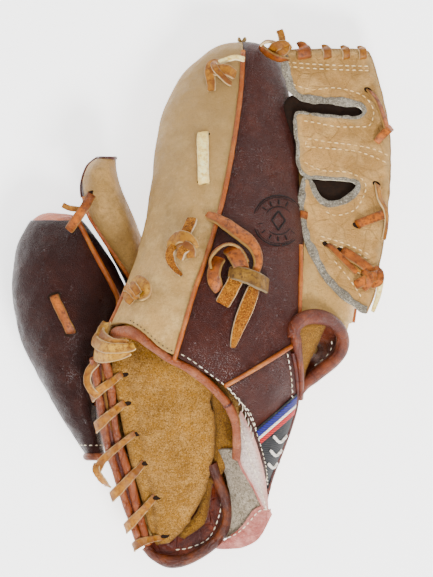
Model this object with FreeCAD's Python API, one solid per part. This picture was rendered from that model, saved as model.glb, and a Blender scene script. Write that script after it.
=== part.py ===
import FreeCAD, Part
import math
import os

# A two-tone baseball glove for the left hand, closed and lying on its palm, in millimetres.
# X runs from the little finger to the thumb, Y from the heel to the fingertips, Z up from the floor.
# Each finger stall, and the hand itself, is a leather tube along Y with elliptical sections.
# A tube's stations say where its section is: (y, left, right, low, high).

os.makedirs("parts", exist_ok=True)

LEATHER = 3.2  # shell leather with its backing
PAD = 4.0  # felt padding in the palm and heel
LINING = 1.8  # suede
FELT = 3.0  # strap lining
GAP = 0.4  # between pieces that are sewn side by side
PIPING = 1.4  # radius of the piping in the seams
ROLL = 3.3  # radius of the thick edge bindings
HEEL_ROLL = 2.4  # radius of each of the two rolls down the heel
OPENING_ROLL = 2.7  # radius of the hand opening's binding
LACE_WIDTH = 5.0
LACE_THICKNESS = 1.8
LABEL = 0.8
SEAM_ANGLE = math.radians(-70)  # where a tube's closing edge runs, away from every panel's edge
FAR = 400.0
CENTRE_SHIFT = (0.3, -0.5, 0.0)  # brings the finished glove's box to the origin

PALM_SPLIT_Y = 34.0  # seam between the palm panel and the front of the index stall
HEEL_SPLIT_Y = -92.0  # seam between the palm pad and the heel pad
THUMB_HOLE_Y = -12.0  # upper edge of the finger hole
PINKY_CAP_Y = 41.5  # where the little finger's tip cap begins
THUMB_ROOT_Y = -49.0  # the stalls are open at their roots
PINKY_ROOT_Y = -84.0
RING_ROOT_Y = 4.0

HAND = [
    (143.0, 14.0, 31.0, 12.0, 30.0),
    (137.0, 2.0, 42.0, 4.0, 38.0),
    (124.0, -11.0, 47.5, 0.0, 46.0),
    (108.0, -20.0, 51.0, 2.0, 54.0),
    (88.0, -27.0, 53.5, 9.0, 64.0),
    (62.0, -31.5, 56.0, 18.0, 78.0),
    (34.0, -35.0, 57.5, 26.0, 92.0),
    (12.0, -45.0, 57.5, 31.0, 100.0),
    (-8.0, -54.0, 57.0, 31.0, 105.0),
    (-28.0, -59.5, 56.0, 27.0, 104.0),
    (-52.0, -61.0, 55.5, 19.0, 97.0),
    (-78.0, -56.0, 54.5, 9.0, 84.0),
    (-100.0, -48.5, 47.5, 2.0, 70.0),
    (-120.0, -39.5, 38.0, 0.0, 56.0),
    (-137.0, -30.0, 27.0, 2.0, 44.0),
    (-148.0, -20.0, 8.0, 10.0, 32.0),
]
THUMB = [
    (124.0, 66.0, 86.0, 8.0, 24.0),
    (115.0, 59.5, 93.0, 3.0, 30.0),
    (100.0, 58.0, 98.0, 1.0, 35.0),
    (75.0, 59.5, 99.0, 1.0, 41.0),
    (50.0, 61.0, 97.0, 3.0, 48.0),
    (25.0, 61.5, 92.0, 10.0, 57.0),
    (0.0, 61.5, 87.0, 18.0, 66.0),
    (-14.0, 61.0, 84.5, 22.0, 70.0),
    (-30.0, 60.5, 82.5, 24.0, 68.0),
    (-45.0, 60.0, 76.0, 28.0, 62.0),
    (-52.0, 60.0, 69.5, 35.0, 55.0),
]
PINKY = [
    (48.0, -86.0, -75.0, 14.0, 30.0),
    (44.0, -93.5, -72.5, 8.0, 38.0),
    (34.0, -100.0, -66.0, 3.0, 47.0),
    (18.0, -104.5, -57.5, 1.0, 53.0),
    (0.0, -105.6, -52.0, 1.0, 55.0),
    (-20.0, -101.5, -57.0, 1.0, 53.0),
    (-40.0, -93.0, -61.5, 2.0, 49.0),
    (-60.0, -82.0, -65.5, 5.0, 44.0),
    (-80.0, -73.0, -61.5, 10.0, 38.0),
    (-88.0, -70.0, -60.5, 14.0, 34.0),
]
RING = [
    (79.0, -58.0, -48.5, 20.0, 42.0),
    (73.0, -63.5, -50.0, 11.0, 51.0),
    (60.0, -66.5, -48.5, 5.0, 56.0),
    (44.0, -64.0, -45.5, 3.0, 55.0),
    (29.0, -58.5, -42.5, 3.0, 49.0),
    (14.0, -52.5, -39.5, 3.0, 41.0),
    (0.0, -48.0, -38.0, 5.0, 33.0),
]


def section_at(stations, y):
    """Centre and half sizes of a tube's section at y, straight between its stations."""
    rows = sorted(stations)
    y = min(max(y, rows[0][0]), rows[-1][0])
    for low, high in zip(rows, rows[1:]):
        if y <= high[0]:
            f = (y - low[0]) / (high[0] - low[0])
            left, right, bottom, top = (a + f * (b - a) for a, b in zip(low[1:], high[1:]))
            return (left + right) / 2, (bottom + top) / 2, (right - left) / 2, (top - bottom) / 2


def top_point(stations, x, y, lift=0.0):
    """The point of a tube's upper side above (x, y), raised off the leather by lift."""
    cx, cz, a, b = section_at(stations, y)
    across = max(-0.97, min(0.97, (x - cx) / a))
    rise = math.sqrt(1 - across * across)
    normal = FreeCAD.Vector(across / a, 0, rise / b).normalize()
    return FreeCAD.Vector(x, y, cz + b * rise) + normal * lift


def loft(wires, closed=False):
    """A solid through wires, straight between them, its faces turned outwards."""
    solid = Part.makeLoft(wires, True, True, closed)
    if solid.Volume < 0:
        solid.reverse()
    return solid


def ellipse_wire(cx, cz, a, b, y):
    circle = Part.makeCircle(1.0, FreeCAD.Vector(0, 0, 0), FreeCAD.Vector(0, 0, 1))
    circle.rotate(FreeCAD.Vector(0, 0, 0), FreeCAD.Vector(0, 0, 1), math.degrees(SEAM_ANGLE))
    place = FreeCAD.Matrix(a, 0, 0, cx, 0, 0, 1, y, 0, b, 0, cz, 0, 0, 0, 1)
    return Part.Wire(circle.transformGeometry(place))


def tube_solid(stations, inset=0.0):
    """A stall's solid, made smaller all round by inset."""
    wires = []
    last = len(stations) - 1
    for i, station in enumerate(stations):
        cx, cz, a, b = section_at(stations, station[0])
        y = station[0]
        if i == 0:
            y -= inset
        if i == last:
            y += inset
        wires.append(ellipse_wire(cx, cz, a - inset, b - inset, y))
    return loft(wires)


def skin(stations, outer, inner):
    """The layer of a stall between two insets."""
    return tube_solid(stations, outer).cut(tube_solid(stations, inner))


def lid(stations, lift=0.0):
    """Everything above a tube's widest line, to part its back from its front."""
    wires = []
    for y, left, right, low, high in extended(stations):
        z = (low + high) / 2 + lift
        corners = [(left - 30, z), (right + 30, z), (right + 30, z + FAR), (left - 30, z + FAR)]
        wires.append(Part.makePolygon([FreeCAD.Vector(x, y, h) for x, h in corners + corners[:1]]))
    return loft(wires)


def extended(stations):
    """Stations with both ends carried on, so that a cutter runs past its tube."""
    first, last = stations[0], stations[-1]
    return [(first[0] + 20,) + first[1:]] + stations[1:-1] + [(last[0] - 20,) + last[1:]]


def prism(outline):
    """A tall block over an outline in plan."""
    points = [FreeCAD.Vector(x, y, -FAR / 4) for x, y in outline + outline[:1]]
    return Part.Face(Part.makePolygon(points)).extrude(FreeCAD.Vector(0, 0, FAR))


def sheet(rows, thickness):
    """A curved sheet. Each row is (y, [(x, z), ...]) across it, and the thickness goes down."""
    wires = []
    for y, line in rows:
        around = line + [(x, z - thickness) for x, z in reversed(line)]
        wires.append(Part.makePolygon([FreeCAD.Vector(x, y, z) for x, z in around + around[:1]]))
    return loft(wires)


def directions(points, closed=False):
    """The path's direction at each point, midway between its two runs."""
    result = []
    count = len(points)
    for i in range(count):
        before = points[i - 1] if i or closed else points[0]
        after = points[(i + 1) % count] if i < count - 1 or closed else points[-1]
        result.append((after - before).normalize())
    return result


def cord(points, radius, closed=False):
    """A round cord or rolled edge through points."""
    points = [FreeCAD.Vector(p) for p in points]
    wires = []
    for p, d in zip(points, directions(points, closed)):
        side = d.cross(FreeCAD.Vector(0, 0, 1)).normalize()
        up = side.cross(d)
        s, u = side * radius, up * radius
        place = FreeCAD.Matrix(s.x, u.x, d.x, p.x, s.y, u.y, d.y, p.y, s.z, u.z, d.z, p.z, 0, 0, 0, 1)
        wires.append(Part.Wire(Part.makeCircle(1.0).transformGeometry(place)))
    return loft(wires, closed)


def band(points, up=(0, 0, 1), width=LACE_WIDTH, thickness=LACE_THICKNESS):
    """A flat lace through points, its broad side facing up."""
    points = [FreeCAD.Vector(p) for p in points]
    wires = []
    for p, d in zip(points, directions(points)):
        side = d.cross(FreeCAD.Vector(up)).normalize() * (width / 2)
        lift = side.cross(d).normalize() * (thickness / 2)
        corners = [p + side + lift, p - side + lift, p - side - lift, p + side - lift]
        wires.append(Part.makePolygon(corners + corners[:1]))
    return loft(wires)


def on_back(stations, outline, lift):
    """Points in plan laid on a tube's back."""
    return [top_point(stations, x, y, lift) for x, y in outline]


def lump(centre, size):
    """A rounded knot body, as a stack of twelve-sided sections."""
    x, y, z = centre
    a, b, c = size
    wires = []
    for height in (-0.95, -0.7, -0.25, 0.25, 0.7, 0.95):
        reach = math.sqrt(1 - height * height)
        corners = [
            FreeCAD.Vector(x + a * reach * math.cos(t), y + b * reach * math.sin(t), z + c * height)
            for t in (math.radians(30 * i) for i in range(12))
        ]
        wires.append(Part.makePolygon(corners + corners[:1]))
    return loft(wires)


# The hand: outlines in plan, from the fingertip down.
LEFT_SEAM = [(24, 150), (23, 122), (17.6, 84), (12, 55), (2.5, 22), (-3, 5), (-14, -31)]
OPENING_EDGE = [(-54, -19), (-45, -13.5), (-34, -16), (-26, -24), (-14, -32.5), (2, -39.5), (13, -50)]
STRAP_SEAM = [(13.7, -48), (32, -37), (50, -26)]
STRAP_LEFT = [(14, -50), (22, -62), (27, -70), (32.5, -83), (36, -101), (37, -117)]
STRAP_RIGHT = [(50, -26), (62, -26), (62, -118)]
LABEL_EDGE = [(32, -75), (52, -57), (52.5, -79), (46.5, -97), (39, -112), (37.5, -101), (34, -84)]


def hand_back():
    """The whole back of the hand, before it is cut into panels."""
    return skin(HAND, 0, LEATHER).common(lid(HAND, GAP / 2))


def hand_front():
    return skin(HAND, 0, LEATHER).cut(lid(HAND, -GAP / 2))


def beyond(y):
    """A block that holds everything at larger Y."""
    return Part.makeBox(2 * FAR, FAR, 2 * FAR, FreeCAD.Vector(-FAR, y, -FAR))


def shifted(outline, dx, dy=0.0):
    return [(x + dx, y + dy) for x, y in outline]


def palm_panel():
    return hand_front().cut(beyond(PALM_SPLIT_Y - GAP))


def index_stall_front():
    return hand_front().common(beyond(PALM_SPLIT_Y))


def back_panel_tan(back):
    seam = shifted(LEFT_SEAM, -GAP / 2)
    outline = seam + OPENING_EDGE[3::-1] + [(-70, -25), (-70, 150)]
    return back.common(prism(outline))


def back_panel_brown(back):
    seam = shifted(LEFT_SEAM, GAP / 2)
    outline = seam + OPENING_EDGE[5:6] + STRAP_SEAM + [(62, -18), (62, 150)]
    return back.common(prism(outline))


def wrist_strap(back):
    outline = shifted(STRAP_SEAM[::-1], 0, -1.0) + STRAP_LEFT + STRAP_RIGHT[:0:-1]
    return back.common(prism(outline))


def back_liner():
    """Suede under the back panels, set in from their edges."""
    layer = skin(HAND, LEATHER + GAP, LEATHER + GAP + LINING).common(lid(HAND, 6.0))
    outline = [(-8, 92), (34, 92), (46, 50), (46, -14), (12, -38), (-14, -24), (-32, -4), (-26, 30)]
    return layer.common(prism(outline))


def pad_layer():
    inset = LEATHER + GAP
    return skin(HAND, inset, inset + PAD).cut(lid(HAND, -12.0))


def palm_pad(layer):
    return layer.cut(beyond(PALM_SPLIT_Y)).common(beyond(HEEL_SPLIT_Y + GAP))


def heel_pad(layer):
    return layer.cut(beyond(HEEL_SPLIT_Y)).common(beyond(-134.0))


def strap_felt_lining():
    layer = skin(HAND, LEATHER + GAP, LEATHER + GAP + FELT).common(lid(HAND, 2.0))
    outline = [(30, -68), (50, -48), (52, -84), (44, -104), (37, -116), (24, -126), (23.5, -110), (29, -94)]
    return layer.common(prism(outline))


def strap_label():
    layer = skin(HAND, -LABEL - 0.1, -0.1).common(lid(HAND, 3.0))
    return layer.common(prism(LABEL_EDGE))


def strap_end_binding():
    """The soft binding that turns over the strap's end and runs to the heel."""
    outline = [(36, -119), (46, -119), (40, -134), (30, -147), (18, -147), (21, -137), (25, -129), (30, -124)]
    return skin(HAND, 0, LEATHER).common(lid(HAND, GAP)).common(prism(outline))


def palm_liner():
    """Suede sheet laced to the heel rolls, bulging up into the hand opening."""
    rows = [
        (8, [(-27, 51), (-12, 47), (8, 47), (24, 50)]),
        (-20, [(-44.5, 60), (-24, 58), (0, 56), (20, 54)]),
        (-48, [(-44, 60.5), (-25, 66), (-2, 63), (17, 54)]),
        (-76, [(-38.5, 51), (-24, 60), (-4, 58), (13, 48)]),
        (-100, [(-29.5, 43), (-18, 51), (-6, 50), (5, 42)]),
        (-122, [(-25, 35), (-17, 41), (-9, 40), (-3, 35)]),
        (-135, [(-23, 31), (-19, 33), (-15, 33), (-11, 31)]),
    ]
    return sheet(rows, LINING)


def wrist_facing():
    """Leather facing between the liner and the bottom binding of the heel."""
    rows = [
        (-86, [(2.5, 40), (5.5, 42)]),
        (-100, [(5.5, 41), (8.5, 42)]),
        (-118, [(1, 33), (11, 35)]),
        (-133, [(-7, 28), (4, 29)]),
    ]
    return sheet(rows, LINING)


HEEL_ROWS = (-36, -57, -79, -97, -114, -130)
ROLL_STEP = 2 * HEEL_ROLL + 1.0


def heel_route(side):
    """One heel roll's path down the left rim, side being its distance in from the rim."""
    points = []
    for y in HEEL_ROWS:
        cx, cz, a, b = section_at(HAND, y)
        points.append(FreeCAD.Vector(cx - a + 1.4 + side, y, cz + HEEL_ROLL + 0.8))
    return points


def heel_roll_outer():
    return cord(heel_route(0), HEEL_ROLL)


def heel_roll_inner():
    return cord(heel_route(ROLL_STEP), HEEL_ROLL)


def heel_lacing(count=7):
    """Laces over both rolls, from a hole in the liner to the rim."""
    route_out, route_in = heel_route(0), heel_route(ROLL_STEP)
    over = HEEL_ROLL + LACE_THICKNESS / 2 + 1.8
    solids = []
    for i in range(count):
        at = (i + 0.35) * (len(route_out) - 1) / count
        k, f = int(at), at - int(at)
        outer = route_out[k] + (route_out[k + 1] - route_out[k]) * f
        inner = route_in[k] + (route_in[k + 1] - route_in[k]) * f
        across = (inner - outer).normalize()
        along = (route_out[k + 1] - route_out[k]).normalize()
        up = along.cross(across).normalize()
        path = [
            outer - across * over - up * 1.0,
            outer - across * over * 0.75 + up * over * 0.75,
            outer + up * over,
            inner + up * over,
            inner + across * over * 0.75 + up * over * 0.75,
        ]
        solids.append(band(path, up))
    return Part.makeCompound(solids)


def hand_opening_binding():
    """Rolled edge of the back, from the heel rolls round to the strap."""
    edge = [(-50, -22.5), (-44, -19), (-34.5, -21.5), (-27.5, -29), (-15, -38), (0, -45), (10, -54)]
    edge += [(17.5, -65), (22, -78), (23.5, -92)]
    return cord(on_back(HAND, edge, -3.0), OPENING_ROLL)


def heel_bottom_binding():
    """Roll round the bottom of the heel, up its right side to the facing."""
    points = [(-25.5, -138.5, 31), (-18.5, -145.5, 33), (-8, -148, 33), (2, -143.5, 33)]
    points += [(9.5, -136, 33), (14.3, -126, 36), (15.6, -113, 40), (13.6, -101, 44), (10.6, -90, 47)]
    return cord(points, ROLL)


def index_piping_left():
    outline = [(23.8, 138), (23, 124), (21, 108), (18.4, 88), (15.8, 74), (12.8, 58), (8.6, 42)]
    outline += [(4.2, 28), (0.2, 15), (-3.6, 3), (-8, -11), (-12.2, -25)]
    return cord(on_back(HAND, outline, PIPING + 0.8), PIPING)


def index_piping_right():
    """Runs down the right side of the brown panel, facing the thumb."""
    points = []
    for y in (66, 50, 34, 20, 6, -8, -20):
        cx, cz, a, b = section_at(HAND, y)
        points.append(top_point(HAND, cx + a * 0.9, y, PIPING + 0.8))
    return cord(points, PIPING)


def strap_piping():
    outline = [(15.5, -48.3), (24, -43.2), (32, -38.5), (40, -33.6), (48.5, -28.5)]
    return cord(on_back(HAND, outline, PIPING + 0.8), PIPING)


def corner_wrap_lace():
    """Lace wrapped round the left corner of the hand opening."""
    points = on_back(HAND, [(-57.5, -8), (-52, -12), (-47, -12), (-40, -9)], LACE_THICKNESS + 0.4)
    return band(points, (0, 0.3, 1), LACE_WIDTH + 1)


def index_slot_lace():
    return band(on_back(HAND, [(-1.2, 92), (-0.2, 79), (0.8, 66)], LACE_THICKNESS), (0, 0, 1))


OVER_PIPING = 2 * PIPING + 2.2 + LACE_THICKNESS / 2  # a lace's middle, where it crosses piping


def knot(stations, centre, size, tails, lift=LACE_THICKNESS + 0.5):
    """A knot on a tube's back: its body, and tails that are flat laces on the leather."""
    x, y = centre
    body = lump(top_point(stations, x, y, size[2] + 1.2), size)
    for tail in tails:
        body = body.fuse(band(on_back(stations, tail, lift)))
    return body


def knot_upper():
    return knot(HAND, (13, 117), (7, 4.5, 3.6), [[(4, 127), (6, 118), (13, 117), (24, 121)]], OVER_PIPING)


def knot_middle():
    return knot(HAND, (-9, 35), (7, 6, 4.4), [[(-7, 43), (-9, 35), (-17, 22)]])


def knot_left_edge():
    return knot(HAND, (-33, 5.5), (6.5, 5.5, 3.6), [[(-25, 8), (-33, 5.5), (-37, 0)]], OVER_PIPING)


def knot_centre():
    tails = [[(4, 46), (14, 34), (24, 20), (30, 10)], [(6, 18), (16, 12), (34, 8)]]
    tails.append([(14, 24), (20, -6), (18, -24)])
    return knot(HAND, (18, 12), (9, 13, 4.6), tails, OVER_PIPING)


def knot_tip():
    """Knot at the fingertip, tying the web's top corner."""
    body = lump((42.0, 144.5, 35.0), (7.5, 4.5, 5.0))
    return body.fuse(band([(40, 141, 32), (44, 146, 36), (46, 151, 39)], (0, 0, 1)))


# The thumb side turns on the crease at the right of the index stall.
CREASE_TOP = FreeCAD.Vector(47, 137, 32)
CREASE_ROOT = FreeCAD.Vector(57, 0, 70)
WEB_THICKNESS = 3.4
WEB_RISE = 6.0  # the web's left edge above the crease
WEB_FALL = 0.22  # drop per millimetre to the right
WEB_NORMAL = (0.22, 0.29, 1.0)
WEB_EDGE = [
    (50, 136), (92, 139), (96, 132), (98.5, 119), (102.5, 105), (105, 88), (105, 71), (103, 54),
    (99, 33), (95.5, 12), (92.5, -2), (84, 2), (75, 11), (67, 22), (62.5, 34), (60.5, 47),
    (59.5, 60), (57.5, 76), (54.5, 90), (53.5, 102), (53, 112), (49.5, 124),
]
WEB_SLOT_UPPER = [(50, 111.5), (60, 108), (74, 108.5), (86, 107.5), (91.5, 104)]
WEB_SLOT_UPPER += [(86, 100.5), (74, 101), (62, 102), (50, 102.5)]
WEB_SLOT_LOWER = [(62.5, 66), (72, 68), (83, 66), (86.5, 62), (82, 57), (75, 54), (68, 55), (64, 60)]


def web_height(x, y):
    """Height of the web's upper face."""
    f = (CREASE_TOP.y - y) / (CREASE_TOP.y - CREASE_ROOT.y)
    crease = CREASE_TOP + (CREASE_ROOT - CREASE_TOP) * f
    return crease.z + WEB_RISE - WEB_FALL * (x - crease.x)


def web_slab():
    """Flat slab in the web's sloping plane."""
    corners = [(30, -30), (130, -30), (130, 170), (30, 170)]
    upper = [FreeCAD.Vector(x, y, web_height(x, y)) for x, y in corners + corners[:1]]
    return Part.Face(Part.makePolygon(upper)).extrude(FreeCAD.Vector(0, 0, -WEB_THICKNESS))


def web():
    """One pliable leather web with two slots."""
    return web_slab().common(prism(WEB_EDGE)).cut(prism(WEB_SLOT_UPPER)).cut(prism(WEB_SLOT_LOWER))


def on_web(outline, lift=LACE_THICKNESS / 2 + 0.4):
    return [FreeCAD.Vector(x, y, web_height(x, y) + lift) for x, y in outline]


def web_band(outline, width=LACE_WIDTH):
    return band(on_web(outline), WEB_NORMAL, width)


def web_top_lacing():
    """Whip stitches over the web's top edge."""
    solids = []
    for x in (57, 68, 79, 89):
        top = 136 + (x - 50) * 3 / 42
        front = on_web([(x + 1, top - 6.5), (x, top - 0.5)])
        low = FreeCAD.Vector(x - 1, top + 3.2, web_height(x, top) - 1.5)
        solids.append(band(front + [low], WEB_NORMAL))
    return Part.makeCompound(solids)


def web_side_lace():
    """Two short laces near the web's right edge, tying it to the thumb."""
    upper = web_band([(88, 121), (93, 114), (97, 108), (101, 98)])
    lower = web_band([(86, 59), (91, 48), (93.5, 40), (94.5, 29)])
    crossing = web_band([(76, 45), (83, 48.5), (87, 50)])
    return Part.makeCompound([upper, lower, crossing])


def web_lower_lace():
    """Long loop near the web's lower edge, with its knot and tail."""
    left = web_band([(66.5, 36), (74, 27), (84, 18)], 3.9)
    right = web_band([(71.5, 38), (79, 29.5), (88, 21)], 3.9)
    body = lump((91.5, 14.5, web_height(91.5, 14.5) + 4.2), (7, 6, 3.8))
    tail = web_band([(92, 9), (91, 2), (90, -3.5)])
    return Part.makeCompound([left, right, body, tail])


def thumb_skin():
    return skin(THUMB, 0, LEATHER).common(beyond(THUMB_ROOT_Y))


def thumb_front():
    return thumb_skin().cut(lid(THUMB, -GAP / 2))


def thumb_back():
    return thumb_skin().common(lid(THUMB, GAP / 2)).common(beyond(THUMB_HOLE_Y))


def thumb_piping():
    """Down the thumb's outer side, where its back meets its front."""
    points = []
    for y in (104, 90, 75, 60, 45, 30, 15, 0, -12):
        cx, cz, a, b = section_at(THUMB, y)
        points.append(FreeCAD.Vector(cx + a + PIPING + 0.7, y, cz))
    return cord(points, PIPING)


def finger_hole_binding():
    """Rolled edge round the finger hole, open where the strap closes it."""
    points = [(61.5, -12, 77), (66, -10, 76), (72.5, -11.5, 74), (78.5, -17, 69), (80.5, -25, 65)]
    points += [(78.5, -34, 61), (74.5, -41.5, 58.5), (69.5, -48, 57.5), (64.5, -52, 58)]
    return cord(points, ROLL)


def finger_hole_facing():
    """Facing that lines the finger hole below its binding."""
    rows = [
        (-19, [(72.5, 57), (74.5, 61), (75.8, 64)]),
        (-30, [(72.2, 51), (74.5, 55), (75.8, 59)]),
        (-39, [(68.5, 49), (70.2, 52), (71.5, 55)]),
    ]
    return sheet(rows, LINING)


# The little finger side turns on the crease at the left of the palm.


def pinky_skin():
    open_ended = skin(PINKY, 0, LEATHER).common(beyond(PINKY_ROOT_Y))
    return open_ended.cut(beyond(PINKY_CAP_Y - GAP))


def pinky_back():
    return pinky_skin().common(lid(PINKY, GAP / 2))


def pinky_front():
    return pinky_skin().cut(lid(PINKY, -GAP / 2))


def pinky_tip_cap():
    """Leather binding cap over the end of the little finger's stall."""
    return skin(PINKY, 0, LEATHER).common(beyond(PINKY_CAP_Y))


def pinky_piping():
    outline = [(-76, 40), (-72, 33), (-66, 24), (-60.5, 12), (-57.5, 0), (-60.5, -14)]
    return cord(on_back(PINKY, outline, PIPING + 0.8), PIPING)


def pinky_root_binding():
    points = [(-69, -85.5), (-66, -86.5), (-63, -84)]
    return cord(on_back(PINKY, points, 3.2), 2.2)


def pinky_lace():
    """Lace loop through two eyelets in the little finger's back."""
    return band(on_back(PINKY, [(-81.5, -1), (-77.5, -9), (-73, -18)], LACE_THICKNESS + 0.2))


def ring_stall():
    return skin(RING, 0, LEATHER).common(beyond(RING_ROOT_Y))


def ring_piping():
    outline = [(-61, 53), (-58.5, 44), (-55, 34), (-51, 24)]
    return cord(on_back(RING, outline, PIPING + 0.8), PIPING)


def ring_lace():
    """Lace from the ring stall over to the little finger's tip."""
    start = top_point(RING, -60, 58, 1.8)
    return band([start, (-66, 51, 62), (-72, 42, 58), (-77, 34, 52.5)])


def save(name, shape):
    shape.translate(FreeCAD.Vector(*CENTRE_SHIFT))
    shape.exportStep(f"parts/{name}.step")


def main():
    back = hand_back()
    pads = pad_layer()
    pieces = {
        "palm_panel": palm_panel(),
        "index_stall_front": index_stall_front(),
        "back_panel_tan": back_panel_tan(back),
        "back_panel_brown": back_panel_brown(back),
        "wrist_strap": wrist_strap(back),
        "back_liner": back_liner(),
        "palm_pad": palm_pad(pads),
        "heel_pad": heel_pad(pads),
        "strap_felt_lining": strap_felt_lining(),
        "strap_label": strap_label(),
        "strap_end_binding": strap_end_binding(),
        "palm_liner": palm_liner(),
        "wrist_facing": wrist_facing(),
        "heel_roll_outer": heel_roll_outer(),
        "heel_roll_inner": heel_roll_inner(),
        "heel_lacing": heel_lacing(),
        "heel_bottom_binding": heel_bottom_binding(),
        "hand_opening_binding": hand_opening_binding(),
        "index_piping_left": index_piping_left(),
        "index_piping_right": index_piping_right(),
        "strap_piping": strap_piping(),
        "corner_wrap_lace": corner_wrap_lace(),
        "index_slot_lace": index_slot_lace(),
        "knot_upper": knot_upper(),
        "knot_middle": knot_middle(),
        "knot_left_edge": knot_left_edge(),
        "knot_centre": knot_centre(),
        "knot_tip": knot_tip(),
        "thumb_back": thumb_back(),
        "thumb_front": thumb_front(),
        "thumb_piping": thumb_piping(),
        "web": web(),
        "web_top_lacing": web_top_lacing(),
        "web_side_lace": web_side_lace(),
        "web_lower_lace": web_lower_lace(),
        "finger_hole_binding": finger_hole_binding(),
        "finger_hole_facing": finger_hole_facing(),
        "pinky_back": pinky_back(),
        "pinky_front": pinky_front(),
        "pinky_tip_cap": pinky_tip_cap(),
        "pinky_piping": pinky_piping(),
        "pinky_root_binding": pinky_root_binding(),
        "pinky_lace": pinky_lace(),
        "ring_stall": ring_stall(),
        "ring_piping": ring_piping(),
        "ring_lace": ring_lace(),
    }
    box = FreeCAD.BoundBox()
    for name, shape in pieces.items():
        save(name, shape)
        box.add(shape.optimalBoundingBox())
    print(f"box {box.XMin:.1f} {box.XMax:.1f}  {box.YMin:.1f} {box.YMax:.1f}  {box.ZMin:.1f} {box.ZMax:.1f}")


main()
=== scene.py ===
import math

import bmesh
import bpy
import numpy as np
from mathutils.bvhtree import BVHTree
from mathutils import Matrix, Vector
from mathutils.geometry import delaunay_2d_cdt


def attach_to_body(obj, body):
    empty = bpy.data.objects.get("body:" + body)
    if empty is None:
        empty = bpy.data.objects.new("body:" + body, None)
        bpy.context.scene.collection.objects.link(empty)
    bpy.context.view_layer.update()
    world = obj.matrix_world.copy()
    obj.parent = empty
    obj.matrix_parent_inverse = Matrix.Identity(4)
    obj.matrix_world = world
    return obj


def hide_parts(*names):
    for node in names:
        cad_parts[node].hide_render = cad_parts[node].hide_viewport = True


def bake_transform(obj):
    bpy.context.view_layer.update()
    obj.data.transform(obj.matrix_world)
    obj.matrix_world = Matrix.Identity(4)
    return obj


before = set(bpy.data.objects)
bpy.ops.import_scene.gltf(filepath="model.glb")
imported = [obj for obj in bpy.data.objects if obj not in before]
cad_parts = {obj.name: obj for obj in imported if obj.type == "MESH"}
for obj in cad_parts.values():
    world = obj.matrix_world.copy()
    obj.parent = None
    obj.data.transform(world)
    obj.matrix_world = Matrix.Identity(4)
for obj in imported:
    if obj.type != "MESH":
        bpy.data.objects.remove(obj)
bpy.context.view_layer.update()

# A baseball glove lying on its palm, in the CAD model's frame. Sizes in this script are millimetres and
# become metres in make_mesh(). X runs to the thumb, Y to the fingertips, Z up to the back of the hand.
MM = 0.001
SHIFT = np.array([0.3, -0.5, 0.0])  # from the part's drawing to its centred frame
SCENE = bpy.context.scene

LEATHER = 3.0
PIPING = 1.35
HEEL_ROLL = 2.3
BINDING = 2.7
TUCK_DEPTH = 3.2
THREAD = 0.36
WEAVE = 0.55

# Stations of each stall: (y, left, right, low, high), the first one the closed tip.
HAND = [
    (144.6, 23.0, 23.6, 20.0, 22.0),
    (143.0, 12.0, 33.0, 12.0, 31.0),
    (137.0, 1.0, 42.0, 4.0, 39.0),
    (124.0, -11.5, 47.5, 1.5, 47.0),
    (108.0, -19.8, 51.0, 2.5, 55.0),
    (88.0, -24.6, 53.5, 9.0, 65.0),
    (62.0, -28.2, 56.0, 18.0, 79.0),
    (34.0, -32.6, 57.5, 26.0, 93.0),
    (12.0, -39.6, 57.8, 31.0, 101.0),
    (-8.0, -48.0, 57.2, 31.0, 105.0),
    (-28.0, -57.0, 56.0, 27.0, 103.5),
    (-52.0, -56.5, 54.6, 19.0, 96.0),
    (-78.0, -51.0, 47.6, 9.0, 84.0),
    (-100.0, -44.6, 38.4, 2.0, 70.0),
    (-120.0, -38.0, 31.0, 1.5, 56.0),
    (-137.0, -30.0, 8.0, 2.0, 44.0),
    (-146.5, -20.0, -9.0, 10.0, 32.0),
]
THUMB = [
    (125.0, 76.0, 77.0, 15.0, 17.0),
    (122.0, 66.0, 88.0, 7.0, 25.0),
    (114.0, 60.0, 93.5, 3.0, 30.0),
    (98.0, 58.0, 98.0, 1.0, 35.0),
    (75.0, 59.5, 99.0, 1.0, 41.0),
    (50.0, 61.0, 97.0, 3.0, 48.0),
    (25.0, 61.5, 92.0, 10.0, 57.0),
    (0.0, 61.5, 87.0, 18.0, 66.0),
    (-14.0, 61.0, 84.5, 22.0, 70.0),
    (-26.0, 60.5, 80.5, 24.0, 66.0),
    (-36.0, 60.0, 72.0, 28.0, 60.0),
    (-43.0, 60.0, 65.0, 35.0, 53.0),
]
PINKY = [
    (48.8, -84.5, -82.0, 20.0, 22.0),
    (47.5, -91.0, -71.0, 12.0, 31.0),
    (42.0, -97.0, -64.5, 6.0, 41.0),
    (30.0, -103.0, -55.5, 2.0, 49.0),
    (16.0, -105.4, -46.5, 1.5, 53.0),
    (0.0, -105.8, -41.5, 1.5, 54.0),
    (-20.0, -101.5, -48.0, 1.5, 53.0),
    (-40.0, -93.0, -55.0, 2.0, 49.0),
    (-60.0, -82.0, -56.5, 5.0, 44.0),
    (-78.0, -70.5, -55.0, 10.0, 38.0),
    (-90.0, -63.0, -53.5, 16.0, 33.0),
]
RING = [
    (80.2, -53.0, -48.6, 28.0, 36.0),
    (78.6, -58.5, -47.6, 19.0, 45.0),
    (72.5, -64.5, -47.2, 10.0, 52.0),
    (60.0, -67.0, -43.6, 5.0, 56.0),
    (44.0, -61.8, -36.8, 3.0, 56.0),
    (29.0, -53.0, -31.8, 3.0, 50.0),
    (14.0, -44.5, -30.0, 3.0, 42.0),
    (0.0, -39.0, -30.0, 5.0, 34.0),
]

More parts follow.
